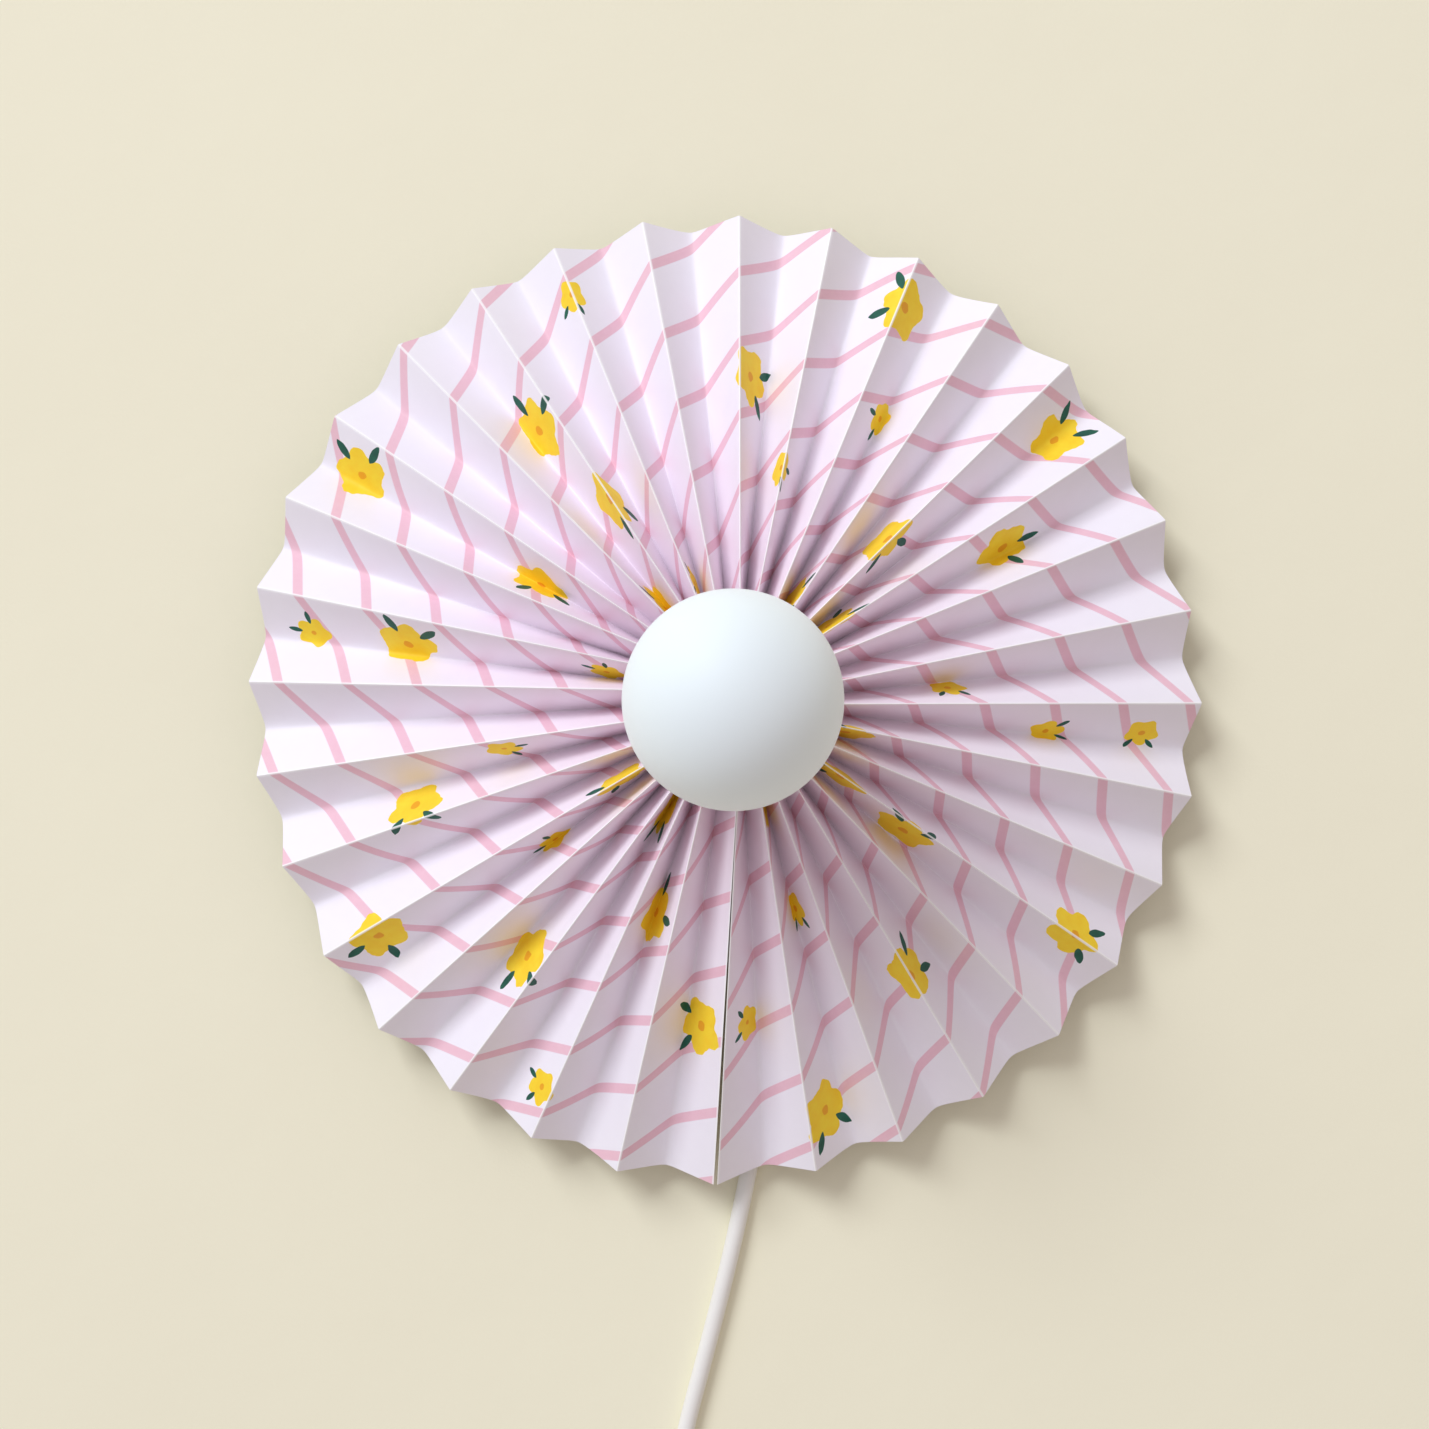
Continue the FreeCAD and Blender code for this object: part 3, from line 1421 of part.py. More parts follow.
def write_parts():
    """One STEP file for each piece."""
    os.makedirs("parts", exist_ok=True)
    for piece in NODES:
        piece.Shape.exportStep(f"parts/{piece.Label}.step")


def main():
    """Builds the lamp and writes its pieces."""
    make_wall_plate()
    make_base_cover()
    make_cover_screws()
    make_nipple_and_nut()
    make_cord_grip()
    make_holder_cap()
    make_holder_body()
    make_holder_inside()
    make_washers()
    make_shade_ring()
    make_pleated_shade()
    make_gathering_thread()
    make_bulb()
    make_switch_shells()
    make_switch_rocker()
    make_switch_screws()
    make_strain_reliefs()
    make_cords()
    make_plug()
    check_nodes()
    write_parts()


main()
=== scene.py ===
"""Dresses the plug-in wall lamp: a pleated paper shade round a bare opal globe, on its cord with a
rocker switch, a tied coil and a plug.

Lengths are metres in the part's own frame: the wall is the plane z = 0 and the globe looks along +Z.
"""

import logging
import math
from collections.abc import Iterable, Sequence
from dataclasses import dataclass
from enum import Enum
from functools import cache
from typing import Any

import bpy
import numpy as np
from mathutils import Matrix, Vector, noise

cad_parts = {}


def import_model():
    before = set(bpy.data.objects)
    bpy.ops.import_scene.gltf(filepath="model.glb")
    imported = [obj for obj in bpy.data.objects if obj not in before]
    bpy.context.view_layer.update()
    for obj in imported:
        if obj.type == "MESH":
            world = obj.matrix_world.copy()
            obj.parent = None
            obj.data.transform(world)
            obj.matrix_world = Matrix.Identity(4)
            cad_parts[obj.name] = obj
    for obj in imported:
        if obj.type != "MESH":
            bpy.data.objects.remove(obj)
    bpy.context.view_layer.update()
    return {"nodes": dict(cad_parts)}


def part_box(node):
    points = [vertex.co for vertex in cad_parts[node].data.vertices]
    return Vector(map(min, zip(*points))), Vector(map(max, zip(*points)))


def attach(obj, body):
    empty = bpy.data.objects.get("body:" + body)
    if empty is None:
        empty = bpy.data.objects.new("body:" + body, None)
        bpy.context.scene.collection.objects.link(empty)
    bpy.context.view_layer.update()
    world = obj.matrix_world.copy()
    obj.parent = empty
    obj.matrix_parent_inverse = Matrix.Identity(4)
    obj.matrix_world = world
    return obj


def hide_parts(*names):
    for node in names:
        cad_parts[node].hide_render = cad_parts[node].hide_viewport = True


LOG = logging.getLogger("wall_lamp")
MM = 0.001
# The shade's strip of paper laid flat, in millimetres
SHEET_LENGTH, SHEET_HEIGHT = 1536.0, 174.6
Point = tuple[float, float, float]


# Colours and nodes


def linear(colour: str) -> tuple[float, float, float, float]:
    """Turns an sRGB hex colour into linear light.

    Args:
        colour: six hex digits after a hash sign.

    Returns:
        Red, green, blue and an alpha of 1.
    """
    parts = [int(colour[i : i + 2], 16) / 255 for i in (1, 3, 5)]
    light = [c / 12.92 if c <= 0.04045 else ((c + 0.055) / 1.055) ** 2.4 for c in parts]
    return light[0], light[1], light[2], 1.0


def add_node(
    tree: bpy.types.NodeTree,
    kind: str,
    values: dict[Any, Any] | None = None,
    links: dict[Any, bpy.types.NodeSocket] | None = None,
    **settings: Any,
) -> bpy.types.Node:
    """Adds one node with its settings, values and links.

    Args:
        tree: the node tree that gets the node.
        kind: the node's type name.
        values: what its sockets are set to, by name or number.
        links: what its sockets are linked from, by name or number.
        settings: the node's own settings.

    Returns:
        The new node.
    """
    node = tree.nodes.new(kind)
    for name, setting in settings.items():
        setattr(node, name, setting)
    for socket, value in (values or {}).items():
        node.inputs[socket].default_value = value
    for socket, source in (links or {}).items():
        tree.links.new(source, node.inputs[socket])
    return node


def combine(tree: bpy.types.NodeTree, operation: str, *terms: Any) -> bpy.types.NodeSocket:
    """Works out one sum, product or other operation on numbers and sockets.

    Args:
        tree: the node tree.
        operation: a Math node's operation.
        terms: numbers or sockets, in the operation's order.

    Returns:
        The result's socket.
    """
    values = {i: t for i, t in enumerate(terms) if isinstance(t, (int, float))}
    links = {i: t for i, t in enumerate(terms) if not isinstance(t, (int, float))}
    return add_node(tree, "ShaderNodeMath", values, links, operation=operation).outputs[0]


def blend_colours(tree: bpy.types.NodeTree, share: Any, under: Any, over: Any) -> bpy.types.NodeSocket:
    """Lays one colour over another.

    Args:
        tree: the node tree.
        share: how much of the upper colour shows, a number or socket.
        under: the lower colour, a socket, linear light or hex text.
        over: the upper colour, likewise.

    Returns:
        The blended colour's socket.
    """
    values: dict[Any, Any] = {}
    links: dict[Any, Any] = {}
    for socket, term in ((0, share), (6, under), (7, over)):
        if isinstance(term, str):
            values[socket] = linear(term)
        elif isinstance(term, (int, float, tuple)):
            values[socket] = term
        else:
            links[socket] = term
    return add_node(tree, "ShaderNodeMix", values, links, data_type="RGBA").outputs[2]


def spots(
    tree: bpy.types.NodeTree, place: bpy.types.NodeSocket, size: float, detail: float = 2.0
) -> bpy.types.NodeSocket:
    """Makes soft irregular spots.

    Args:
        tree: the node tree.
        place: the coordinates, in metres or millimetres.
        size: a spot's size, in the same unit.
        detail: how many finer layers lie on the first.

    Returns:
        A value round 0.5.
    """
    settings = {"Scale": 1 / size, "Detail": detail, "Roughness": 0.55}
    return add_node(tree, "ShaderNodeTexNoise", settings, {"Vector": place}).outputs["Fac"]


def ink_edge(tree: bpy.types.NodeTree, inside: Any, steepness: Any) -> bpy.types.NodeSocket:
    """Turns a distance inside an outline into ink.

    Args:
        tree: the node tree.
        inside: the distance, over 0 inside.
        steepness: how quickly the ink comes up from the edge.

    Returns:
        A value from 0 to 1.
    """
    ink = combine(tree, "MULTIPLY", inside, steepness)
    ink.node.use_clamp = True
    return ink


def object_place(tree: bpy.types.NodeTree) -> bpy.types.NodeSocket:
    """Gives the place on the object, in metres."""
    return add_node(tree, "ShaderNodeTexCoord").outputs["Object"]


def sheet_place(tree: bpy.types.NodeTree) -> bpy.types.NodeSocket:
    """Gives the place on the shade's flat strip of paper: along it, and down from its outer edge.

    Args:
        tree: the node tree.

    Returns:
        The place, in millimetres.
    """
    strip = add_node(tree, "ShaderNodeUVMap", uv_map="Strip").outputs["UV"]
    size = {1: (SHEET_LENGTH, SHEET_HEIGHT, 1)}
    return add_node(tree, "ShaderNodeVectorMath", size, {0: strip}, operation="MULTIPLY").outputs[0]


def new_material(name: str) -> tuple[bpy.types.Material, bpy.types.NodeTree, bpy.types.Node]:
    """Starts a material.

    Args:
        name: the finish's name.

    Returns:
        The material, its node tree and its shader.
    """
    material = bpy.data.materials.new(name)
    material.use_nodes = True
    tree = material.node_tree
    return material, tree, tree.nodes["Principled BSDF"]


def set_inputs(tree: bpy.types.NodeTree, shader: bpy.types.Node, **terms: Any) -> None:
    """Sets or links a shader's inputs.

    Args:
        tree: the node tree.
        shader: the shader.
        terms: values or sockets by the input's name, with low lines for its spaces.
    """
    for name, term in terms.items():
        socket = shader.inputs[name.replace("_", " ")]
        if isinstance(term, bpy.types.NodeSocket):
            tree.links.new(term, socket)
        else:
            socket.default_value = term


def add_relief(
    tree: bpy.types.NodeTree, shader: bpy.types.Node, height: bpy.types.NodeSocket, depth: float
) -> None:
    """Gives a shader a fine relief.

    Args:
        tree: the node tree.
        shader: the shader that gets it.
        height: the relief, from 0 to 1.
        depth: its depth in metres.
    """
    settings = {"Strength": 1.0, "Distance": depth}
    bump = add_node(tree, "ShaderNodeBump", settings, {"Height": height})
    tree.links.new(bump.outputs["Normal"], shader.inputs["Normal"])


# Finishes


class Working(Enum):
    """How a metal's surface was made."""

    TURNED = "turned"
    ROLLED = "rolled"
    DRAWN = "drawn"


@dataclass(frozen=True)
class MouldedPlastic:
    """A thermoplastic moulded in a spark-eroded tool: even colour with the tool's fine grain."""

    name: str
    colour: str
    roughness: float = 0.42
    grain: float = 0.45 * MM
    depth: float = 0.006 * MM
    flow: float = 22 * MM

    def build(self) -> bpy.types.Material:
        """Makes the material: tone drifts slightly where the melt flowed, grain breaks up the gloss.

        Returns:
            The material.
        """
        material, tree, shader = new_material(self.name)
        place = object_place(tree)
        drift = combine(tree, "MULTIPLY", spots(tree, place, self.flow), 0.08)
        tone = blend_colours(tree, drift, self.colour, "#8F8C86")
        grain = spots(tree, place, self.grain, 1.0)
        uneven = combine(tree, "MULTIPLY_ADD", grain, 0.16, self.roughness - 0.08)
        set_inputs(tree, shader, Base_Color=tone, Roughness=uneven, IOR=1.5)
        add_relief(tree, shader, grain, self.depth)
        return material


@dataclass(frozen=True)
class FrostedGlobe:
    """Polycarbonate blown in a blasted mould: milky, with a broad soft highlight."""

    name: str = "frosted_opal_polycarbonate"

    def build(self) -> bpy.types.Material:
        """Makes the material: milk-white with a cool cast and a blasted, silky surface.

        Returns:
            The material.
        """
        material, tree, shader = new_material(self.name)
        place = object_place(tree)
        milk = combine(tree, "MULTIPLY", spots(tree, place, 30 * MM), 0.10)
        tone = blend_colours(tree, milk, "#F0FCFF", "#E6F3F8")
        set_inputs(
            tree,
            shader,
            Base_Color=tone,
            Roughness=0.6,
            IOR=1.5,
            Subsurface_Weight=0.12,
            Subsurface_Radius=(1.0, 1.0, 1.0),
            Subsurface_Scale=3 * MM,
            Sheen_Weight=0.35,
            Sheen_Roughness=0.6,
        )
        add_relief(tree, shader, spots(tree, place, 0.5 * MM, 1.0), 0.004 * MM)
        return material


@dataclass(frozen=True)
class WorkedMetal:
    """A bare or plated metal: its grey or yellow is the metal's own, its lines are the tool's."""

    name: str
    colour: str
    working: Working
    roughness: float = 0.32
    pitch: float = 0.35 * MM

    def build(self) -> bpy.types.Material:
        """Makes the material: fine lines from the lathe or the mill, and a little dulling in patches.

        Returns:
            The material.
        """
        material, tree, shader = new_material(self.name)
        place = object_place(tree)
        patches = spots(tree, place, 6 * MM)
        tone = blend_colours(tree, combine(tree, "MULTIPLY", patches, 0.3), self.colour, "#6E6A64")
        stretch = {
            Working.TURNED: (0.15, 0.15, 1.0),
            Working.ROLLED: (1.0, 0.06, 1.0),
            Working.DRAWN: (1.0, 1.0, 0.06),
        }[self.working]
        along = add_node(tree, "ShaderNodeMapping", {"Scale": stretch}, {"Vector": place}).outputs[0]
        lines = spots(tree, along, self.pitch, 1.0)
        dulled = combine(tree, "MULTIPLY_ADD", lines, 0.2, self.roughness - 0.1)
        set_inputs(tree, shader, Base_Color=tone, Metallic=1.0, Roughness=dulled)
        add_relief(tree, shader, lines, 0.008 * MM)
        return material


@dataclass(frozen=True)
class SinteredCeramic:
    """Pressed and fired steatite: dry, creamy white, with fine dark specks."""

    name: str = "fired_steatite"

    def build(self) -> bpy.types.Material:
        """Makes the material: chalky, with specks of the raw mix and a powdery relief.

        Returns:
            The material.
        """
        material, tree, shader = new_material(self.name)
        place = object_place(tree)
        speck = combine(tree, "GREATER_THAN", spots(tree, place, 0.6 * MM, 1.0), 0.68)
        tone = blend_colours(tree, combine(tree, "MULTIPLY", speck, 0.35), "#E4DED0", "#9A917F")
        set_inputs(tree, shader, Base_Color=tone, Roughness=0.7, IOR=1.62)
        add_relief(tree, shader, spots(tree, place, 0.4 * MM, 2.0), 0.02 * MM)
        return material


@dataclass(frozen=True)
class FusedGlass:
    """Black glass fused into the bulb's cap: dark, glossy, slightly wavy."""

    name: str = "fused_black_glass"

    def build(self) -> bpy.types.Material:
        """Makes the material: near black with a purple cast and a fire-polished ripple.

        Returns:
            The material.
        """
        material, tree, shader = new_material(self.name)
        place = object_place(tree)
        cast = combine(tree, "MULTIPLY", spots(tree, place, 3 * MM), 0.5)
        tone = blend_colours(tree, cast, "#15131A", "#2B2733")
        set_inputs(tree, shader, Base_Color=tone, Roughness=0.12, IOR=1.52)
        add_relief(tree, shader, spots(tree, place, 2.5 * MM, 1.0), 0.03 * MM)
        return material


@dataclass(frozen=True)
class LacqueredBoard:
    """A circuit board under white solder lacquer, with rows of small yellow light-emitting chips."""

    name: str = "lacquered_circuit_board"
    chip_pitch: float = 5 * MM

    def build(self) -> bpy.types.Material:
        """Makes the material: white lacquer with the warm squares of the phosphor chips.

        Returns:
            The material.
        """
        material, tree, shader = new_material(self.name)
        place = object_place(tree)
        axes = add_node(tree, "ShaderNodeSeparateXYZ", links={"Vector": place}).outputs
        edges = []
        for axis in (0, 1):
            cell = combine(tree, "DIVIDE", axes[axis], self.chip_pitch)
            edges.append(combine(tree, "ABSOLUTE", combine(tree, "WRAP", cell, 0.5, -0.5)))
        chip = combine(tree, "LESS_THAN", combine(tree, "MAXIMUM", *edges), 0.28)
        tone = blend_colours(tree, chip, "#E8EAE8", "#E9C75A")
        set_inputs(tree, shader, Base_Color=tone, Roughness=0.35)
        add_relief(tree, shader, spots(tree, place, 0.8 * MM, 1.0), 0.01 * MM)
        return material


@dataclass(frozen=True)
class ExtrudedSheath:
    """PVC drawn over the cores: satin, slightly dimpled where the twisted cores press through."""

    name: str
    colour: str

    def build(self) -> bpy.types.Material:
        """Makes the material: soft satin white, a little handled, with faint swellings.

        Returns:
            The material.
        """
        material, tree, shader = new_material(self.name)
        place = object_place(tree)
        handled = combine(tree, "MULTIPLY", spots(tree, place, 18 * MM, 3.0), 0.10)
        satin = combine(tree, "MULTIPLY_ADD", spots(tree, place, 1.5 * MM), 0.2, 0.34)
        tone = blend_colours(tree, handled, self.colour, "#B9B5AC")
        set_inputs(tree, shader, Base_Color=tone, Roughness=satin, IOR=1.53)
        add_relief(tree, shader, spots(tree, place, 5 * MM, 2.0), 0.10 * MM)
        return material


@dataclass(frozen=True)
class SpunCotton:
    """Two-ply cotton thread: fuzzy, matt, with the plies' shading between them."""

    name: str = "spun_cotton"

    def build(self) -> bpy.types.Material:
        """Makes the material: off-white fibre with dark flecks between the strands.

        Returns:
            The material.
        """
        material, tree, shader = new_material(self.name)
        place = object_place(tree)
        fibre = spots(tree, place, 0.25 * MM, 3.0)
        tone = blend_colours(tree, fibre, "#CFC9BF", "#F4F1EA")
        set_inputs(tree, shader, Base_Color=tone, Roughness=0.9, Sheen_Weight=0.4)
        add_relief(tree, shader, fibre, 0.06 * MM)
        return material


@dataclass(frozen=True)
class WovenTape:
    """Nylon tape with a brushed loop face: crossed threads under short fuzz."""

    name: str = "woven_nylon_tape"
    thread: float = 0.9 * MM

    def build(self) -> bpy.types.Material:
        """Makes the material: a plain weave, drawn a little coarser than the real one so that it shows.

        Returns:
            The material.
        """
        material, tree, shader = new_material(self.name)
        place = object_place(tree)
        axes = add_node(tree, "ShaderNodeSeparateXYZ", links={"Vector": place}).outputs
        turn = 2 * math.pi / self.thread
        round_the_coil = combine(tree, "ADD", axes[1], axes[2])
        warp = combine(tree, "SINE", combine(tree, "MULTIPLY", axes[0], turn))
        weft = combine(tree, "SINE", combine(tree, "MULTIPLY", round_the_coil, turn))
        weave = combine(tree, "MULTIPLY_ADD", combine(tree, "MULTIPLY", warp, weft), 0.5, 0.5)
        tone = blend_colours(tree, weave, "#D9D6D0", "#F6F4F0")
        set_inputs(tree, shader, Base_Color=tone, Roughness=0.85, Sheen_Weight=0.5)
        add_relief(tree, shader, weave, 0.12 * MM)
        return material


@dataclass(frozen=True)
class PaperBack:
    """The unprinted side of the shade paper: matt white with its fibres just visible."""

    name: str = "uncoated_paper_back"

    def build(self) -> bpy.types.Material:
        """Makes the material: warm white, cloudy where the pulp is thicker.

        Returns:
            The material.
        """
        material, tree, shader = new_material(self.name)
        sheet = sheet_place(tree)
        cloud = combine(tree, "MULTIPLY", spots(tree, sheet, 9.0, 4.0), 0.12)
        tone = blend_colours(tree, cloud, "#F3F1F0", "#D9D4D2")
        set_inputs(tree, shader, Base_Color=tone, Roughness=0.85)
        add_relief(tree, shader, spots(tree, sheet, 0.7, 3.0), 0.02 * MM)
        return material


@dataclass(frozen=True)
class PrintedPaper:
    """Laminated white paper, printed with slanting pink stripes and scattered yellow blossoms.

    All sizes are millimetres on the flat strip, along it and down from its outer edge.
    """

    name: str = "printed_laminated_paper"
    stripe_pitch: float = 31.3
    stripe_slope: float = 0.54
    stripe_start: float = -13.9
    stripe_width: float = 4.6
    stripe_sharpness: float = 2.5
    pleat: float = 48.0
    row_pitch: float = 43.65
    motif_pitch: float = 153.6
    row_stagger: float = 0.382 * 153.6
    small_motif: float = 7.6
    large_motif_adds: float = 4.4
    large_above: float = 0.32
    # A motif's parts, in its own sizes from its middle
    petal_reach: float = 0.90
    lobe_depth: float = 0.11
    middle_reach: float = 0.17
    leaf_leans: tuple[float, float] = (0.55, -0.75)
    leaf_middle: float = 1.02
    leaf_half_length: float = 0.40
    leaf_half_width: float = 0.15
    worn_half_width: float = 0.75

    def stripes(self, tree: bpy.types.NodeTree, along: Any, down: Any) -> bpy.types.NodeSocket:
        """Draws the stripes.

        Args:
            tree: the node tree.
            along: place along the strip.
            down: place down the strip.

        Returns:
            1 on a stripe and 0 beside it, with a printed edge's softness.
        """
        slanted = combine(tree, "MULTIPLY_ADD", along, -self.stripe_slope, down)
        shifted = combine(tree, "SUBTRACT", slanted, self.stripe_start)
        half = self.stripe_pitch / 2
        off = combine(tree, "ABSOLUTE", combine(tree, "WRAP", shifted, half, -half))
        edge = combine(tree, "SUBTRACT", self.stripe_width / 2 + 0.2, off)
        return ink_edge(tree, edge, self.stripe_sharpness)

    def cell(self, tree: bpy.types.NodeTree, along: Any, down: Any) -> dict[str, Any]:
        """Finds the place within a motif's own field of the strip.

        Args:
            tree: the node tree.
            along: place along the strip.
            down: place down the strip.

        Returns:
            The place from the motif's middle, turned its own way, and its size.
        """
        row = combine(tree, "FLOOR", combine(tree, "DIVIDE", down, self.row_pitch))
        staggered = combine(tree, "MULTIPLY_ADD", row, self.row_stagger, along)
        column = combine(tree, "FLOOR", combine(tree, "DIVIDE", staggered, self.motif_pitch))
        key = add_node(tree, "ShaderNodeCombineXYZ", {2: 4.0}, {0: column, 1: row}).outputs[0]
        chance = add_node(
            tree, "ShaderNodeTexWhiteNoise", links={0: key}, noise_dimensions="3D"
        ).outputs[1]
        parts = add_node(tree, "ShaderNodeSeparateXYZ", links={0: chance}).outputs
        large = combine(tree, "GREATER_THAN", parts[2], self.large_above)
        spread = combine(tree, "MULTIPLY", parts[2], 1.5)
        base = combine(tree, "MULTIPLY_ADD", large, self.large_motif_adds, self.small_motif)
        size = combine(tree, "ADD", spread, base)
        share_x = combine(tree, "MULTIPLY_ADD", parts[0], 0.5, 0.25)
        share_y = combine(tree, "MULTIPLY_ADD", parts[1], 0.12, 0.44)
        middle_x = combine(tree, "MULTIPLY", share_x, self.motif_pitch)
        middle_y = combine(tree, "MULTIPLY", share_y, self.row_pitch)
        within_x = combine(tree, "MULTIPLY_ADD", column, -self.motif_pitch, staggered)
        within_y = combine(tree, "MULTIPLY_ADD", row, -self.row_pitch, down)
        x = combine(tree, "SUBTRACT", within_x, middle_x)
        y = combine(tree, "SUBTRACT", within_y, middle_y)
        turn = combine(tree, "MULTIPLY", combine(tree, "ADD", parts[0], parts[2]), 2 * math.pi)
        return {"x": x, "y": y, "size": size, "turn": turn}

    def motif(self, tree: bpy.types.NodeTree, field: dict[str, Any], wobble: Any) -> dict[str, Any]:
        """Draws one five-petalled blossom with two leaves.

        Args:
            tree: the node tree.
            field: what cell() gives.
            wobble: a hand-painted edge's unevenness, round 0.

        Returns:
            How much of petal, middle and leaf shows.
        """
        x, y, size = field["x"], field["y"], field["size"]
        squares = [combine(tree, "MULTIPLY", term, term) for term in (x, y)]
        reach = combine(tree, "SQRT", combine(tree, "ADD", *squares))
        angle = combine(tree, "ADD", combine(tree, "ARCTAN2", y, x), field["turn"])
        scaled = combine(tree, "ADD", combine(tree, "DIVIDE", reach, size), wobble)
        lobes = combine(tree, "COSINE", combine(tree, "MULTIPLY", angle, 5.0))
        rim = combine(tree, "MULTIPLY_ADD", lobes, self.lobe_depth, self.petal_reach)
        petal = self.sharpened(tree, combine(tree, "SUBTRACT", rim, scaled), field)
        middle = self.sharpened(tree, combine(tree, "SUBTRACT", self.middle_reach, scaled), field)
        leaf: Any = 0.0
        for lean in self.leaf_leans:
            away = combine(tree, "SUBTRACT", angle, lean)
            ahead = combine(tree, "MULTIPLY", combine(tree, "COSINE", away), scaled)
            u = combine(tree, "SUBTRACT", ahead, self.leaf_middle)
            v = combine(tree, "MULTIPLY", combine(tree, "SINE", away), scaled)
            lengthwise = combine(tree, "ABSOLUTE", combine(tree, "DIVIDE", u, self.leaf_half_length))
            sideways = combine(tree, "ABSOLUTE", combine(tree, "DIVIDE", v, self.leaf_half_width))
            squared = combine(tree, "POWER", lengthwise, 2.0)
            pointed = combine(tree, "POWER", sideways, 1.4)
            blade = combine(tree, "SUBTRACT", 1.0, combine(tree, "ADD", squared, pointed))
            leaf = combine(tree, "MAXIMUM", leaf, self.sharpened(tree, blade, field, 3.0))
        return {"petal": petal, "middle": middle, "leaf": leaf}

    @staticmethod
    def sharpened(
        tree: bpy.types.NodeTree, inside: Any, field: dict[str, Any], soft: float = 1.0
    ) -> bpy.types.NodeSocket:
        """Turns a motif's outline into ink, with an edge about a quarter millimetre wide."""
        return ink_edge(tree, inside, combine(tree, "MULTIPLY", field["size"], 4.0 / soft))

    def build(self) -> bpy.types.Material:
        """Makes the material: ink sits flat under the laminate and is worn off along the mountain folds;
        the white is painted pinker towards the hub, standing in for pink bounce light in the deep pleats
        there.

        Returns:
            The material.
        """
        material, tree, shader = new_material(self.name)
        sheet = sheet_place(tree)
        axes = add_node(tree, "ShaderNodeSeparateXYZ", links={0: sheet}).outputs
        along, down = axes[0], axes[1]
        pulp = spots(tree, sheet, 7.0, 4.0)
        fibre = spots(tree, sheet, 0.8, 3.0)
        white = blend_colours(tree, combine(tree, "MULTIPLY", pulp, 0.3), "#F7F4FC", "#ECE7F1")
        # Painted bounce light: the white turns pinker towards the hub, where the deep pleats throw pink
        # light onto each other
        painted_hub_bounce = combine(tree, "POWER", combine(tree, "DIVIDE", down, SHEET_HEIGHT), 2.0)
        white = blend_colours(tree, combine(tree, "MULTIPLY", painted_hub_bounce, 0.85), white, "#FEEBF7")
        ink = blend_colours(tree, spots(tree, sheet, 3.0), "#F2C6D3", "#EDBBCB")
        covered = combine(tree, "MULTIPLY", self.stripes(tree, along, down), 0.92)
        tone = blend_colours(tree, covered, white, ink)
        field = self.cell(tree, along, down)
        uneven = combine(tree, "SUBTRACT", spots(tree, sheet, 5.0, 1.0), 0.5)
        wobble = combine(tree, "MULTIPLY", uneven, 0.26)
        drawn = self.motif(tree, field, wobble)
        wash = combine(tree, "MULTIPLY_ADD", spots(tree, sheet, 6.0, 2.0), 1.2, -0.2)
        yellow = blend_colours(tree, wash, "#FFE238", "#FBCB22")
        tone = blend_colours(tree, drawn["petal"], tone, yellow)
        tone = blend_colours(tree, drawn["middle"], tone, "#F0A91F")
        green = blend_colours(tree, wash, "#1F6A55", "#173F38")
        tone = blend_colours(tree, drawn["leaf"], tone, green)
        half = self.pleat / 2
        ridge = combine(tree, "ABSOLUTE", combine(tree, "WRAP", along, half, -half))
        worn = combine(tree, "SUBTRACT", self.worn_half_width, ridge)
        crease = ink_edge(tree, worn, 2.2)
        tone = blend_colours(tree, combine(tree, "MULTIPLY", crease, 0.8), tone, "#FFFFFF")
        sheen = combine(tree, "MULTIPLY_ADD", fibre, 0.12, 0.5)
        set_inputs(tree, shader, Base_Color=tone, Roughness=sheen, IOR=1.48, Specular_IOR_Level=0.35)
        add_relief(tree, shader, fibre, 0.02 * MM)
        return material


@dataclass(frozen=True)
class CreamCard:
    """The pale card that the lamp lies on: matt, faintly clouded, with a few soft dents."""

    name: str = "cream_card"
    colour: str = "#F9F6DC"

    def build(self) -> bpy.types.Material:
        """Makes the material: warm cream, cloudy over a hand's width, with a fine tooth.

        Returns:
            The material.
        """
        material, tree, shader = new_material(self.name)
        place = object_place(tree)
        cloud = combine(tree, "MULTIPLY", spots(tree, place, 180 * MM, 3.0), 0.16)
        tone = blend_colours(tree, cloud, self.colour, "#DCD0B6")
        set_inputs(tree, shader, Base_Color=tone, Roughness=0.85)
        dents = combine(tree, "MULTIPLY", spots(tree, place, 45 * MM), 6.0)
        tooth = combine(tree, "ADD", spots(tree, place, 1.2 * MM, 3.0), dents)
        add_relief(tree, shader, tooth, 0.05 * MM)
        return material


PAPER = PrintedPaper()
PAPER_BACK = PaperBack()
COTTON = SpunCotton()
GLOBE = FrostedGlobe()
HOLDER_WHITE = MouldedPlastic("moulded_white_polyester", "#F2F1EC", 0.38)
COVER_WHITE = MouldedPlastic("moulded_white_polycarbonate", "#F4F3EF", 0.46, 0.6 * MM)
SLEEVE_WHITE = MouldedPlastic("moulded_soft_white_pvc", "#F1F0EB", 0.55, 0.5 * MM, 0.01 * MM)
SHEATH_WHITE = ExtrudedSheath("extruded_white_pvc", "#F3F2ED")
CORE_BROWN = ExtrudedSheath("extruded_brown_pvc", "#6B4128")
CORE_BLUE = ExtrudedSheath("extruded_blue_pvc", "#3C6FB0")
TAPE = WovenTape()
STEEL = WorkedMetal("rolled_galvanised_steel", "#B9BCBE", Working.ROLLED, 0.38, 0.5 * MM)
ZINC = WorkedMetal("turned_zinc_plated_steel", "#C4C6C6", Working.TURNED, 0.3, 0.3 * MM)
BRASS = WorkedMetal("turned_brass", "#D9B45A", Working.TURNED, 0.28, 0.3 * MM)
NICKEL = WorkedMetal("drawn_nickel_plated_brass", "#C9C6BE", Working.DRAWN, 0.24, 0.4 * MM)
STEATITE = SinteredCeramic()
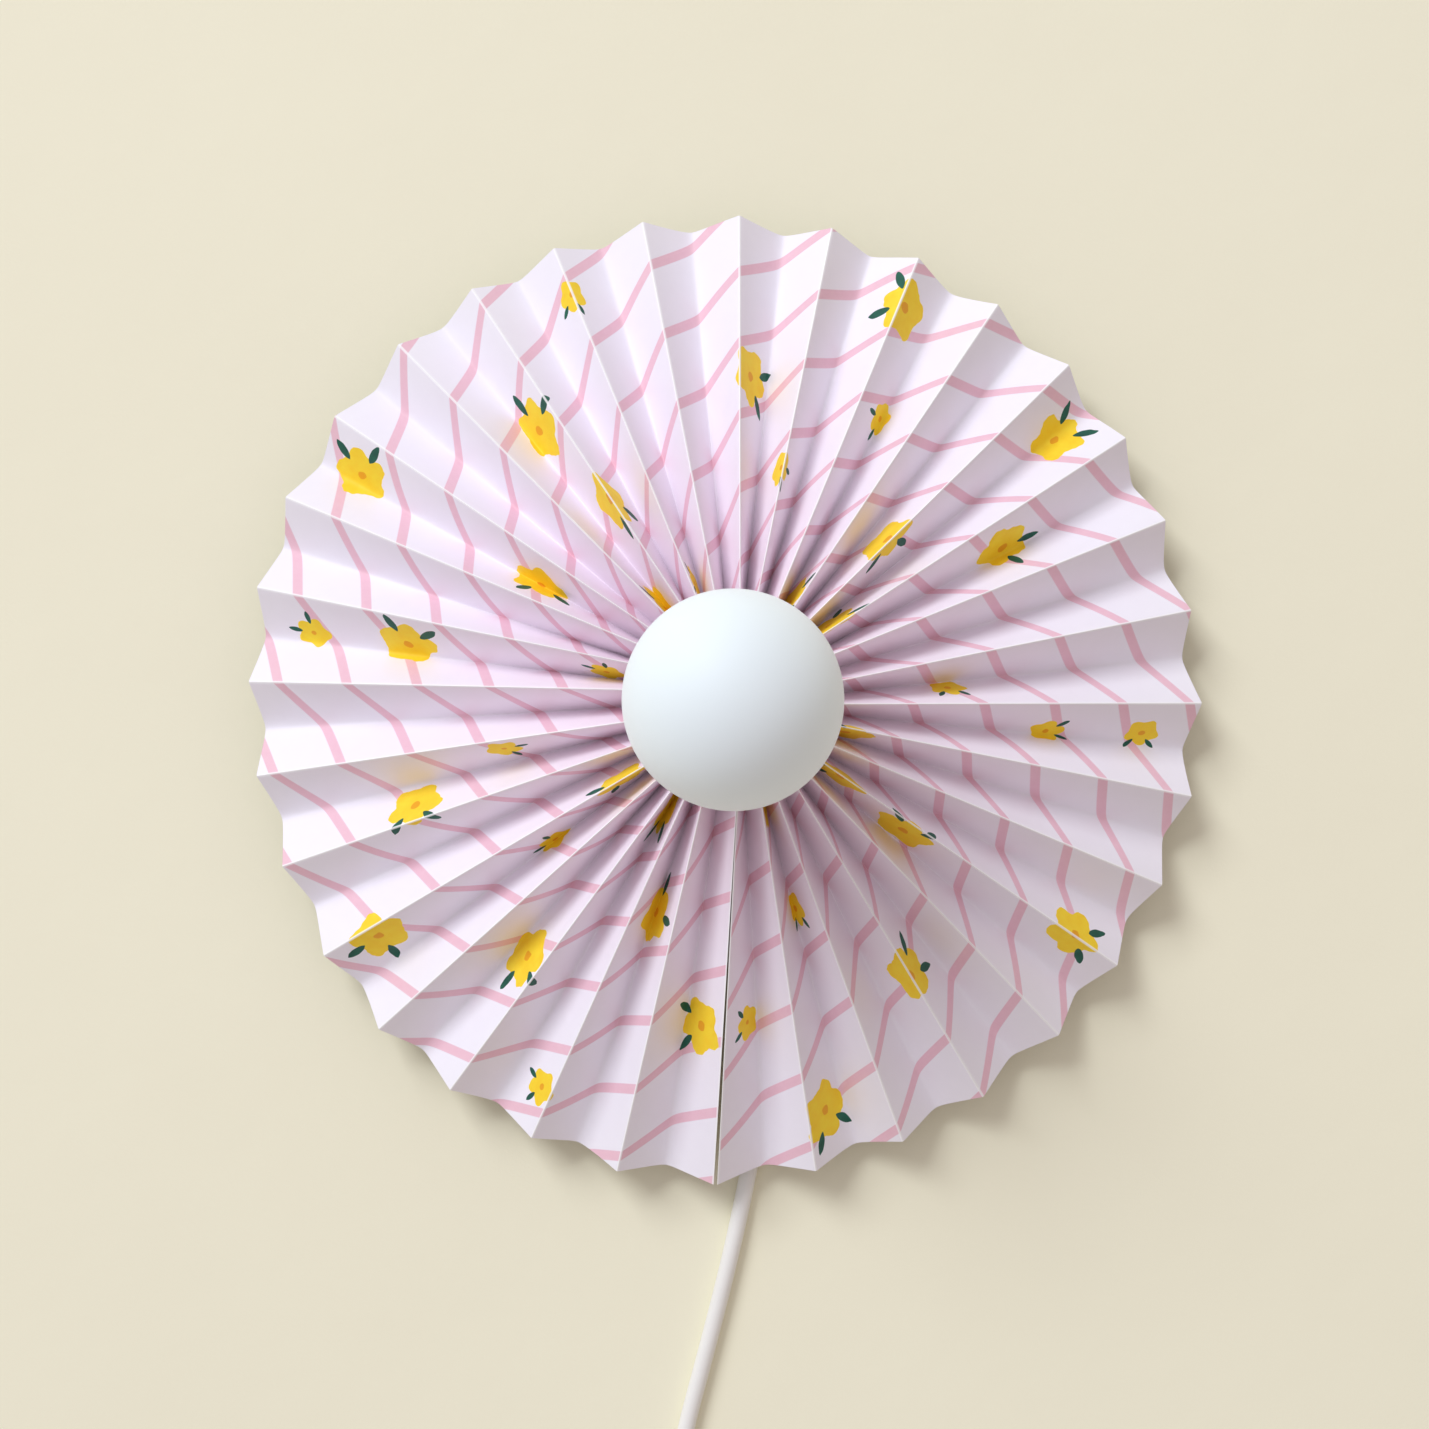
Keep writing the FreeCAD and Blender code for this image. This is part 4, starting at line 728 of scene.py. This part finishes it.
BLACK_GLASS = FusedGlass()
BOARD = LacqueredBoard()
CARD = CreamCard()


@cache
def material_of(finish: Any) -> bpy.types.Material:
    """Returns a finish's material, made once."""
    return finish.build()


# Modelling


def deselect_all() -> None:
    """Deselects every object."""
    bpy.ops.object.select_all(action="DESELECT")


def make_active(piece: bpy.types.Object) -> None:
    """Selects one object alone and makes it active.

    Args:
        piece: the object.
    """
    deselect_all()
    piece.select_set(True)
    bpy.context.view_layer.objects.active = piece


def apply_modifier(piece: bpy.types.Object, kind: str, **settings: Any) -> None:
    """Adds a modifier and applies it.

    Args:
        piece: the object.
        kind: the modifier's type.
        settings: the modifier's settings.
    """
    make_active(piece)
    modifier = piece.modifiers.new(kind.title(), kind)
    for name, setting in settings.items():
        setattr(modifier, name, setting)
    bpy.ops.object.modifier_apply(modifier=modifier.name)


def settle(piece: bpy.types.Object, smooth_angle: float = 40.0) -> None:
    """Puts a piece's place into its mesh and smooths its shading.

    Args:
        piece: the object.
        smooth_angle: edges sharper than this many degrees stay crisp.
    """
    make_active(piece)
    bpy.ops.object.transform_apply(location=True, rotation=True, scale=True)
    bpy.ops.object.shade_smooth_by_angle(angle=math.radians(smooth_angle))
    deselect_all()


def dress(nodes: dict[str, bpy.types.Object], finish: Any, *names: str) -> None:
    """Gives CAD nodes a finish.

    Args:
        nodes: the frame's nodes by name.
        finish: the finish.
        names: the names of the nodes that get it.
    """
    for name in names:
        node = nodes[name]
        if not node.data.materials:
            node.data.materials.append(None)
        for slot in node.material_slots:
            slot.link = "OBJECT"
            slot.material = material_of(finish)
        LOG.info("dressed %s as %s", name, finish.name)


def finish_piece(piece: bpy.types.Object, body: str, replaced: Iterable[str]) -> None:
    """Ties a new piece to the part.

    Args:
        piece: the new object.
        body: the CAD body that it moves with.
        replaced: the CAD nodes that it stands for.
    """
    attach(piece, body)
    names = list(replaced)
    if names:
        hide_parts(*names)
    LOG.info("made %s, %d faces, for %s", piece.name, len(getattr(piece.data, "polygons", ())), names)


# Sub-assemblies


@dataclass
class PleatedShade:
    """One long strip of paper, folded into pleats and gathered on a thread at its inner edge."""

    pleats: int = 32
    panel: float = 24 * MM
    paper: float = 0.4 * MM
    mountain_hub: tuple[float, float] = (30.69 * MM, 81.34 * MM)
    mountain_rim: tuple[float, float] = (195.28 * MM, 23.01 * MM)
    valley_hub: tuple[float, float] = (23.30 * MM, 58.66 * MM)
    valley_rim: tuple[float, float] = (190.70 * MM, 8.99 * MM)
    bow: float = 1.1 * MM
    bulge: float = 0.7 * MM
    rows: int = 40
    # Where the grid's columns lie in a panel: close together at both folds
    steps: tuple[float, ...] = (0.0, 0.02, 0.06, 0.12, 0.2, 0.32, 0.5, 0.68, 0.8, 0.88, 0.94, 0.98)
    # How far a valley's round reaches, in panels
    soft_at_rim: float = 0.13
    soft_at_hub: float = 0.03
    # A fold's own share and each neighbour's in its rounded place
    own_share: float = 0.55
    neighbour_share: float = 0.225
    # Columns of the strip's end past the last fold, turned straight down at the seam, in panels
    flap: tuple[float, ...] = (0.08, 0.2, 0.36)
    # Inner ends of the first and last mountain folds before they slip, in degrees from +X
    hub_ends: tuple[float, float] = (-90.6, 268.6)
    # Outer ends of the mountain folds, in degrees from +X, from one side of the seam to the other
    rim_turns: tuple[float, ...] = (
        -91.0, -79.1, -68.0, -56.8, -44.9, -33.8, -22.6, -11.3, 0.0, 11.3, 22.6,
        33.6, 44.6, 55.7, 66.6, 77.4, 88.4, 99.8, 110.7, 121.5, 132.4, 143.7,
        154.9, 166.1, 177.4, 188.8, 200.2, 212.1, 223.2, 234.5, 245.9, 256.9, 268.5,
    )
    # How far each fold's inner end has slipped round the thread, in degrees
    hub_slips: tuple[float, ...] = (
        7.3, 10, 7, 8, 4, 2, 0, -1, -1, 0, 4,
        4, 2, 0, -3, -4, -7, -4, -6, -9, -11, -11,
        -12, -12, -7, 2, 5, 7, 5, 3, -1, -3, 7.7,
    )
    # How much further out or in than a true circle each fold ends, in millimetres
    rim_reaches: tuple[float, ...] = (
        0.5, -1.5, -3.0, -4.0, -4.1, -3.7, -3.1, -2.1, -1.7, -2.3, -1.6,
        -0.1, 0.7, 1.1, 2.1, 2.8, 3.2, 3.4, 2.6, 2.5, 2.4, 2.1,
        2.5, 1.2, -1.0, -2.1, -3.1, -2.2, -1.6, -2.1, -1.6, 0.2, 0.5,
    )

    def fold_ends(self) -> tuple[np.ndarray, np.ndarray]:
        """Finds both ends of every fold.

        Returns:
            Outer and inner ends, one row a fold, mountains and valleys in turn.
        """
        folds = 2 * self.pleats + 1
        mountains = np.arange(0, folds, 2)
        index = np.arange(folds)
        rim = np.interp(index, mountains, self.rim_turns)
        even = np.linspace(*self.hub_ends, self.pleats + 1)
        hub = np.interp(index, mountains, even + np.array(self.hub_slips))
        reach = np.interp(index, mountains, self.rim_reaches) * MM
        outer, inner = np.zeros((folds, 3)), np.zeros((folds, 3))
        for i in index:
            (rim_r, rim_z) = self.valley_rim if i % 2 else self.mountain_rim
            (hub_r, hub_z) = self.valley_hub if i % 2 else self.mountain_hub
            a, b = math.radians(rim[i]), math.radians(hub[i])
            outer[i] = ((rim_r + reach[i]) * math.cos(a), (rim_r + reach[i]) * math.sin(a), rim_z)
            inner[i] = (hub_r * math.cos(b), hub_r * math.sin(b), hub_z)
        return outer, inner

    def folded(self, across: np.ndarray, down: np.ndarray) -> np.ndarray:
        """Folds points of the flat strip.

        Args:
            across: place along the strip, in panels.
            down: place from the outer edge, 0, to the inner edge, 1.

        Returns:
            The folded places, one row a point.
        """
        outer, inner = self.fold_ends()
        last = 2 * self.pleats
        first = np.clip(np.floor(across).astype(int), 0, last - 1)
        valley = first + (first % 2 == 0)
        side = across - valley
        t = down[:, None]
        arch = 4 * down * (1 - down) * self.bow

        def line(i: np.ndarray) -> np.ndarray:
            """Finds points on folds, which bow away from the panels' middle.

            Args:
                i: each point's fold.

            Returns:
                The points' places.
            """
            points = outer[i] * (1 - t) + inner[i] * t
            points[:, 2] += np.where(i % 2 == 0, 1.0, -1.0) * arch
            return points

        middle, before, after = line(valley), line(valley - 1), line(valley + 1)
        soft = self.soft_at_rim * (1 - down) + self.soft_at_hub * down
        rise = np.sqrt(side**2 + soft**2) - (np.sqrt(1 + soft**2) - 1)
        spread = np.clip(side, -1, 1)
        place = (
            middle
            + np.minimum(rise, 1.0)[:, None] * ((before + after) / 2 - middle)
            + spread[:, None] * (after - before) / 2
        )
        normal = np.cross(line(first + 1) - line(first), inner[first] - outer[first])
        normal /= np.linalg.norm(normal, axis=1)[:, None]
        swell = np.array(
            [noise.noise(Vector((p * 0.83, d * 1.9, 3.1))) for p, d in zip(first, down)]
        )
        share = np.clip(across - first, 0, 1)
        place += normal * (swell * self.bulge * np.sin(np.pi * share))[:, None]
        place[:, 2] -= np.maximum(across - last, 0) * self.panel
        return place

    def build(self) -> bpy.types.Object:
        """Folds a flat grid into the shade.

        Returns:
            The finished shade.
        """
        folded = 2 * self.pleats * len(self.steps)
        columns = folded + len(self.flap)
        deselect_all()
        bpy.ops.mesh.primitive_grid_add(x_subdivisions=columns, y_subdivisions=self.rows, size=2)
        shade = bpy.context.object
        shade.name = shade.data.name = "paper_shade"
        mesh = shade.data
        flat = np.array([v.co for v in mesh.vertices])
        column = np.rint((flat[:, 0] + 1) / 2 * columns).astype(int)
        panel, step = np.divmod(column, len(self.steps))
        past = np.array((0.0, *self.flap))[np.clip(column - folded, 0, None)]
        within = panel + np.array(self.steps)[step]
        across = np.where(column > folded, 2 * self.pleats + past, within)
        down = (flat[:, 1] + 1) / 2
        place = self.folded(across, down)
        place = self.rounded(place, column, flat[:, 1])
        mesh.vertices.foreach_set("co", place.ravel())
        layer = mesh.uv_layers[0]
        layer.name = "Strip"
        corners = np.zeros(len(mesh.loops), int)
        mesh.loops.foreach_get("vertex_index", corners)
        strip = np.stack([across[corners] / (2 * self.pleats), down[corners]], axis=1)
        layer.data.foreach_set("uv", strip.ravel())
        mesh.update()
        mesh.materials.append(material_of(PAPER))
        mesh.materials.append(material_of(PAPER_BACK))
        sides = {"material_offset": 1, "material_offset_rim": 1}
        apply_modifier(shade, "SOLIDIFY", thickness=self.paper, offset=0.0, **sides)
        settle(shade, 35.0)
        finish_piece(shade, "lamp", ["pleated_shade"])
        return shade

    def rounded(self, place: np.ndarray, column: np.ndarray, row: np.ndarray) -> np.ndarray:
        """Draws each fold's own line in a little, so that the paper turns in a small round.

        Args:
            place: the folded places.
            column: each point's column.
            row: each point's row in the flat grid.

        Returns:
            The places with rounded folds.
        """
        keys = np.rint((row + 1) / 2 * self.rows).astype(int)
        last = 2 * self.pleats * len(self.steps)
        table = np.full((column.max() + 1, self.rows + 1), -1)
        table[column, keys] = np.arange(len(place))
        eased = place.copy()
        for c in range(len(self.steps), last, len(self.steps)):
            here, before, after = table[c], table[c - 1], table[c + 1]
            beside = place[before] + place[after]
            eased[here] = place[here] * self.own_share + beside * self.neighbour_share
        return eased


@dataclass
class GatheringThread:
    """The two-ply thread that runs through all pleats and draws the shade's inner edge together."""

    plies: int = 2
    lay: float = 3.4 * MM
    segments_a_turn: int = 10
    pinch: float = 0.18

    def build(self) -> bpy.types.Object:
        """Twists a ring into two plies.

        Returns:
            The finished thread.
        """
        low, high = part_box("gathering_thread")
        section = (high.z - low.z) / 2
        ring = (high.x - low.x) / 2 - section
        turns = round(2 * math.pi * ring / self.lay)
        deselect_all()
        bpy.ops.mesh.primitive_torus_add(
            location=(0, 0, 0),
            major_radius=ring,
            minor_radius=section,
            major_segments=turns * self.segments_a_turn,
            minor_segments=12,
        )
        thread = bpy.context.object
        thread.name = thread.data.name = "twisted_thread"
        for vertex in thread.data.vertices:
            around = math.atan2(vertex.co.y, vertex.co.x)
            spoke = Vector((math.cos(around), math.sin(around), 0))
            out, up = vertex.co.dot(spoke) - ring, vertex.co.z
            lobe = math.cos(self.plies * (math.atan2(up, out) - turns * around / self.plies))
            size = 1 - self.pinch * (1 - lobe)
            vertex.co = spoke * (ring + out * size) + Vector((0, 0, up * size + (low.z + high.z) / 2))
        thread.data.materials.append(material_of(COTTON))
        settle(thread, 60.0)
        finish_piece(thread, "lamp", ["gathering_thread"])
        return thread


@dataclass
class MainsCord:
    """The round mains cord: from the base to the switch, then through a tied coil to the plug."""

    diameter: float = 7 * MM
    lamp_exit: Point = (0, -73, 6.5)
    lamp_run: tuple[Point, ...] = (
        (0, -44, 6.5), (0, -98, 6.5), (18, -150, 3.5), (11.5, -186, 3.5), (3.2, -226, 3.5),
        (-7.5, -268, 3.5), (-18.3, -308, 3.5), (-22, -339, 7.2), (-22, -372, 8),
    )
    switch_exit: Point = (-22, -452, 8)
    switch_run: tuple[Point, ...] = ((-22, -428, 8), (-22, -456, 7.6), (-24, -484, 4.3))
    plug_run: tuple[Point, ...] = ((41, -560.5, 18.0), (66, -559, 18), (84, -559, 18))
    coil_middle: tuple[float, float] = (17, -520)
    coil_middle_radius: float = 35.5
    coil_floor: float = 4.3
    points_a_turn: int = 16
    turns: float = 4.25
    turns_a_layer: int = 2
    climb_turns: float = 0.2

    def coil_points(self) -> list[Point]:
        """Winds the coil: in along the floor, up at the inside, out again, up at the outside.

        Returns:
            The route's points, in millimetres.
        """
        wide = 1000 * self.diameter
        outside, inside = self.coil_middle_radius + wide, self.coil_middle_radius - wide
        ease = (6 + 2 * math.cos(2 * math.pi / self.points_a_turn)) / 8
        points = []
        for k in range(round(self.turns * self.points_a_turn) + 1):
            turn = k / self.points_a_turn
            layer, along = divmod(turn, self.turns_a_layer)
            radius = outside - wide * along if layer % 2 == 0 else inside + wide * along
            climb = max(0.0, 1 - (self.turns_a_layer - along) / self.climb_turns)
            height = self.coil_floor + wide * (layer + climb)
            angle = math.pi + 2 * math.pi * turn
            reach = radius / ease
            x = self.coil_middle[0] + reach * math.cos(angle)
            y = self.coil_middle[1] + reach * math.sin(angle)
            points.append((x, y, height))
        return points

    def lay(self, name: str, points: Sequence[Point], replaced: Iterable[str]) -> bpy.types.Object:
        """Lays one length of cord on a smooth line.

        Args:
            name: the piece's name.
            points: the route's points, in millimetres.
            replaced: the CAD nodes that it stands for.

        Returns:
            The cord, a curve.
        """
        curve = bpy.data.curves.new(name, "CURVE")
        curve.dimensions = "3D"
        spline = curve.splines.new("NURBS")
        spline.points.add(len(points) - 1)
        for knot, (x, y, z) in zip(spline.points, points):
            knot.co = (x * MM, y * MM, z * MM, 1.0)
        spline.order_u = 3
        spline.use_endpoint_u = True
        spline.resolution_u = 8
        curve.bevel_depth = self.diameter / 2
        curve.bevel_resolution = 5
        curve.use_fill_caps = True
        curve.materials.append(material_of(SHEATH_WHITE))
        cord = bpy.data.objects.new(name, curve)
        bpy.context.scene.collection.objects.link(cord)
        finish_piece(cord, "lamp", replaced)
        return cord

    def build(self, nodes: dict[str, bpy.types.Object]) -> None:
        """Lays both lengths and gives the cord's sleeves and cores their finishes.

        Args:
            nodes: the frame's nodes by name.
        """
        lamp_flex = self.lay("lamp_flex", self.lamp_run, ["lamp_cord"])
        sleeves = ["switch_relief_lamp_side", "switch_relief_plug_side"]
        route = [*self.switch_run, *self.coil_points(), *self.plug_run]
        plug_flex = self.lay("plug_flex", route, ["switch_cord", "cord_coil", "plug_cord"])
        dress(nodes, SLEEVE_WHITE, "base_strain_relief", *sleeves, "plug_strain_relief")
        dress(nodes, CORE_BROWN, "live_core")
        dress(nodes, CORE_BLUE, "neutral_core")


@dataclass
class CoilTie:
    """The hook-and-loop strap round the coil."""

    width: float = 10 * MM
    thickness: float = 0.8 * MM
    middle: Point = (17 * MM, -484.6 * MM, 8.0 * MM)
    half_across: float = 9.2 * MM
    half_up: float = 7.6 * MM
    corner: float = 2.6
    # Where the lapped end starts and stops, in radians, how steep its start is and how far it stands off
    overlap: float = 0.9
    overlap_end: float = 2.4
    overlap_steepness: float = 9
    overlap_rise: float = 0.09

    def build(self) -> bpy.types.Object:
        """Bends a tube of tape round the turns and lays its end over itself.

        Returns:
            The finished strap.
        """
        deselect_all()
        bpy.ops.mesh.primitive_cylinder_add(
            vertices=64,
            radius=1.0,
            depth=self.width,
            end_fill_type="NOTHING",
            rotation=(0, math.pi / 2, 0),
        )
        strap = bpy.context.object
        strap.name = strap.data.name = "tape_tie"
        bpy.ops.object.transform_apply(location=True, rotation=True, scale=True)
        for vertex in strap.data.vertices:
            angle = math.atan2(vertex.co.z, vertex.co.y)
            c, s = math.cos(angle), math.sin(angle)
            square = (abs(c) ** self.corner + abs(s) ** self.corner) ** (-1 / self.corner)
            onset = 0.5 + 0.5 * math.tanh((angle - self.overlap) * self.overlap_steepness)
            lapped = 1.0 + self.overlap_rise * onset * (angle < self.overlap_end)
            vertex.co.y = self.middle[1] + self.half_across * square * c * lapped
            vertex.co.z = self.middle[2] + self.half_up * square * s * lapped
            vertex.co.x += self.middle[0]
        strap.data.materials.append(material_of(TAPE))
        apply_modifier(strap, "SOLIDIFY", thickness=self.thickness, offset=0.0)
        settle(strap, 50.0)
        finish_piece(strap, "lamp", ["coil_tie"])
        return strap


@dataclass
class LampBody:
    """The base on the wall, the holder that stands on it, the clamp round the shade and the bulb."""

    def build(self, nodes: dict[str, bpy.types.Object]) -> None:
        """Gives each of the lamp's rigid pieces its finish.

        Args:
            nodes: the frame's nodes by name.
        """
        dress(nodes, STEEL, "wall_plate")
        dress(nodes, COVER_WHITE, "base_cover", "rear_washer", "front_washer")
        dress(
            nodes, ZINC, "cover_screws", "threaded_nipple", "nipple_nut", "grip_screws", "terminal_screws"
        )
        dress(
            nodes, HOLDER_WHITE, "cord_grip", "holder_cap", "holder_body", "shade_ring", "bulb_housing"
        )
        dress(nodes, STEATITE, "contact_block")
        dress(nodes, NICKEL, "screw_shell", "bulb_screw_cap")
        dress(nodes, BRASS, "centre_contact", "terminals", "bulb_tip_contact")
        dress(nodes, GLOBE, "bulb_globe")
        dress(nodes, BLACK_GLASS, "bulb_insulator")
        dress(nodes, BOARD, "led_board")


@dataclass
class SwitchAndPlug:
    """The rocker switch in the cord, and the two-pin plug at its end."""

    def build(self, nodes: dict[str, bpy.types.Object]) -> None:
        """Gives the switch's and the plug's pieces their finishes.

        Args:
            nodes: the frame's nodes by name.
        """
        dress(nodes, HOLDER_WHITE, "switch_base", "switch_top", "plug_body")
        dress(nodes, ZINC, "switch_screws")
        dress(nodes, COVER_WHITE, "switch_rocker")
        dress(nodes, NICKEL, "plug_pins")


@dataclass
class Studio:
    """The pale card floor, the soft window light from the upper left, and the camera above."""

    camera_place: Point = (-0.0215, -0.0105, 1.0)
    lens: float = 60.49
    shift: tuple[float, float] = (0.029, 0.0102)
    floor_size: float = 8.0
    key_power: float = 385.0
    key_distance: float = 8.0
    key_height: float = 41.0
    key_turn: float = 128.0
    key_size: float = 3.4
    key_colour: Point = (0.95, 0.98, 1.04)
    sky: float = 0.50
    room_side: tuple[float, ...] = (0.92, 0.76, 0.70, 1.0)
    window_side: tuple[float, ...] = (1.1, 1.1, 1.2, 1.0)

    def set_camera(self) -> None:
        """Hangs the camera over the lamp, looking straight down."""
        data = bpy.data.cameras.new("camera_above")
        data.lens, data.sensor_width = self.lens, 36.0
        data.shift_x, data.shift_y = self.shift
        data.clip_start, data.clip_end = 0.01, 50.0
        camera = bpy.data.objects.new("camera_above", data)
        camera.location = self.camera_place
        bpy.context.scene.collection.objects.link(camera)
        bpy.context.scene.camera = camera

    def build(self) -> None:
        """Lays the floor and hangs the lights."""
        deselect_all()
        bpy.ops.mesh.primitive_plane_add(size=self.floor_size)
        floor = bpy.context.object
        floor.name = floor.data.name = "card_floor"
        floor.data.materials.append(material_of(CARD))
        deselect_all()
        turn, rise = math.radians(self.key_turn), math.radians(self.key_height)
        level = math.cos(rise)
        toward = Vector((math.cos(turn) * level, math.sin(turn) * level, math.sin(rise)))
        data = bpy.data.lights.new("window_light", "AREA")
        data.energy, data.size, data.color = self.key_power, self.key_size, self.key_colour
        key = bpy.data.objects.new("window_light", data)
        key.location = toward * self.key_distance
        key.rotation_euler = toward.to_track_quat("Z", "Y").to_euler()
        bpy.context.scene.collection.objects.link(key)
        world = bpy.data.worlds.new("soft_room")
        world.use_nodes = True
        tree = world.node_tree
        look = add_node(tree, "ShaderNodeTexCoord").outputs["Generated"]
        window = (-math.sqrt(0.5), math.sqrt(0.5), 0.0)
        facing = add_node(
            tree, "ShaderNodeVectorMath", {1: window}, {0: look}, operation="DOT_PRODUCT"
        ).outputs["Value"]
        share = combine(tree, "MULTIPLY_ADD", facing, 0.5, 0.5)
        room = blend_colours(tree, share, self.room_side, self.window_side)
        background = tree.nodes["Background"]
        tree.links.new(room, background.inputs["Color"])
        background.inputs["Strength"].default_value = self.sky
        bpy.context.scene.world = world
        bpy.context.scene.view_settings.view_transform = "Standard"


def main() -> None:
    """Builds and dresses the lamp, then the studio round it."""
    logging.basicConfig(level=logging.INFO, format="%(message)s")
    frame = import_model()
    nodes = frame["nodes"]
    studio = Studio()
    studio.set_camera()
    MainsCord().build(nodes)
    PleatedShade().build()
    GatheringThread().build()
    CoilTie().build()
    LampBody().build(nodes)
    SwitchAndPlug().build(nodes)
    studio.build()


if __name__ == "__main__":
    main()
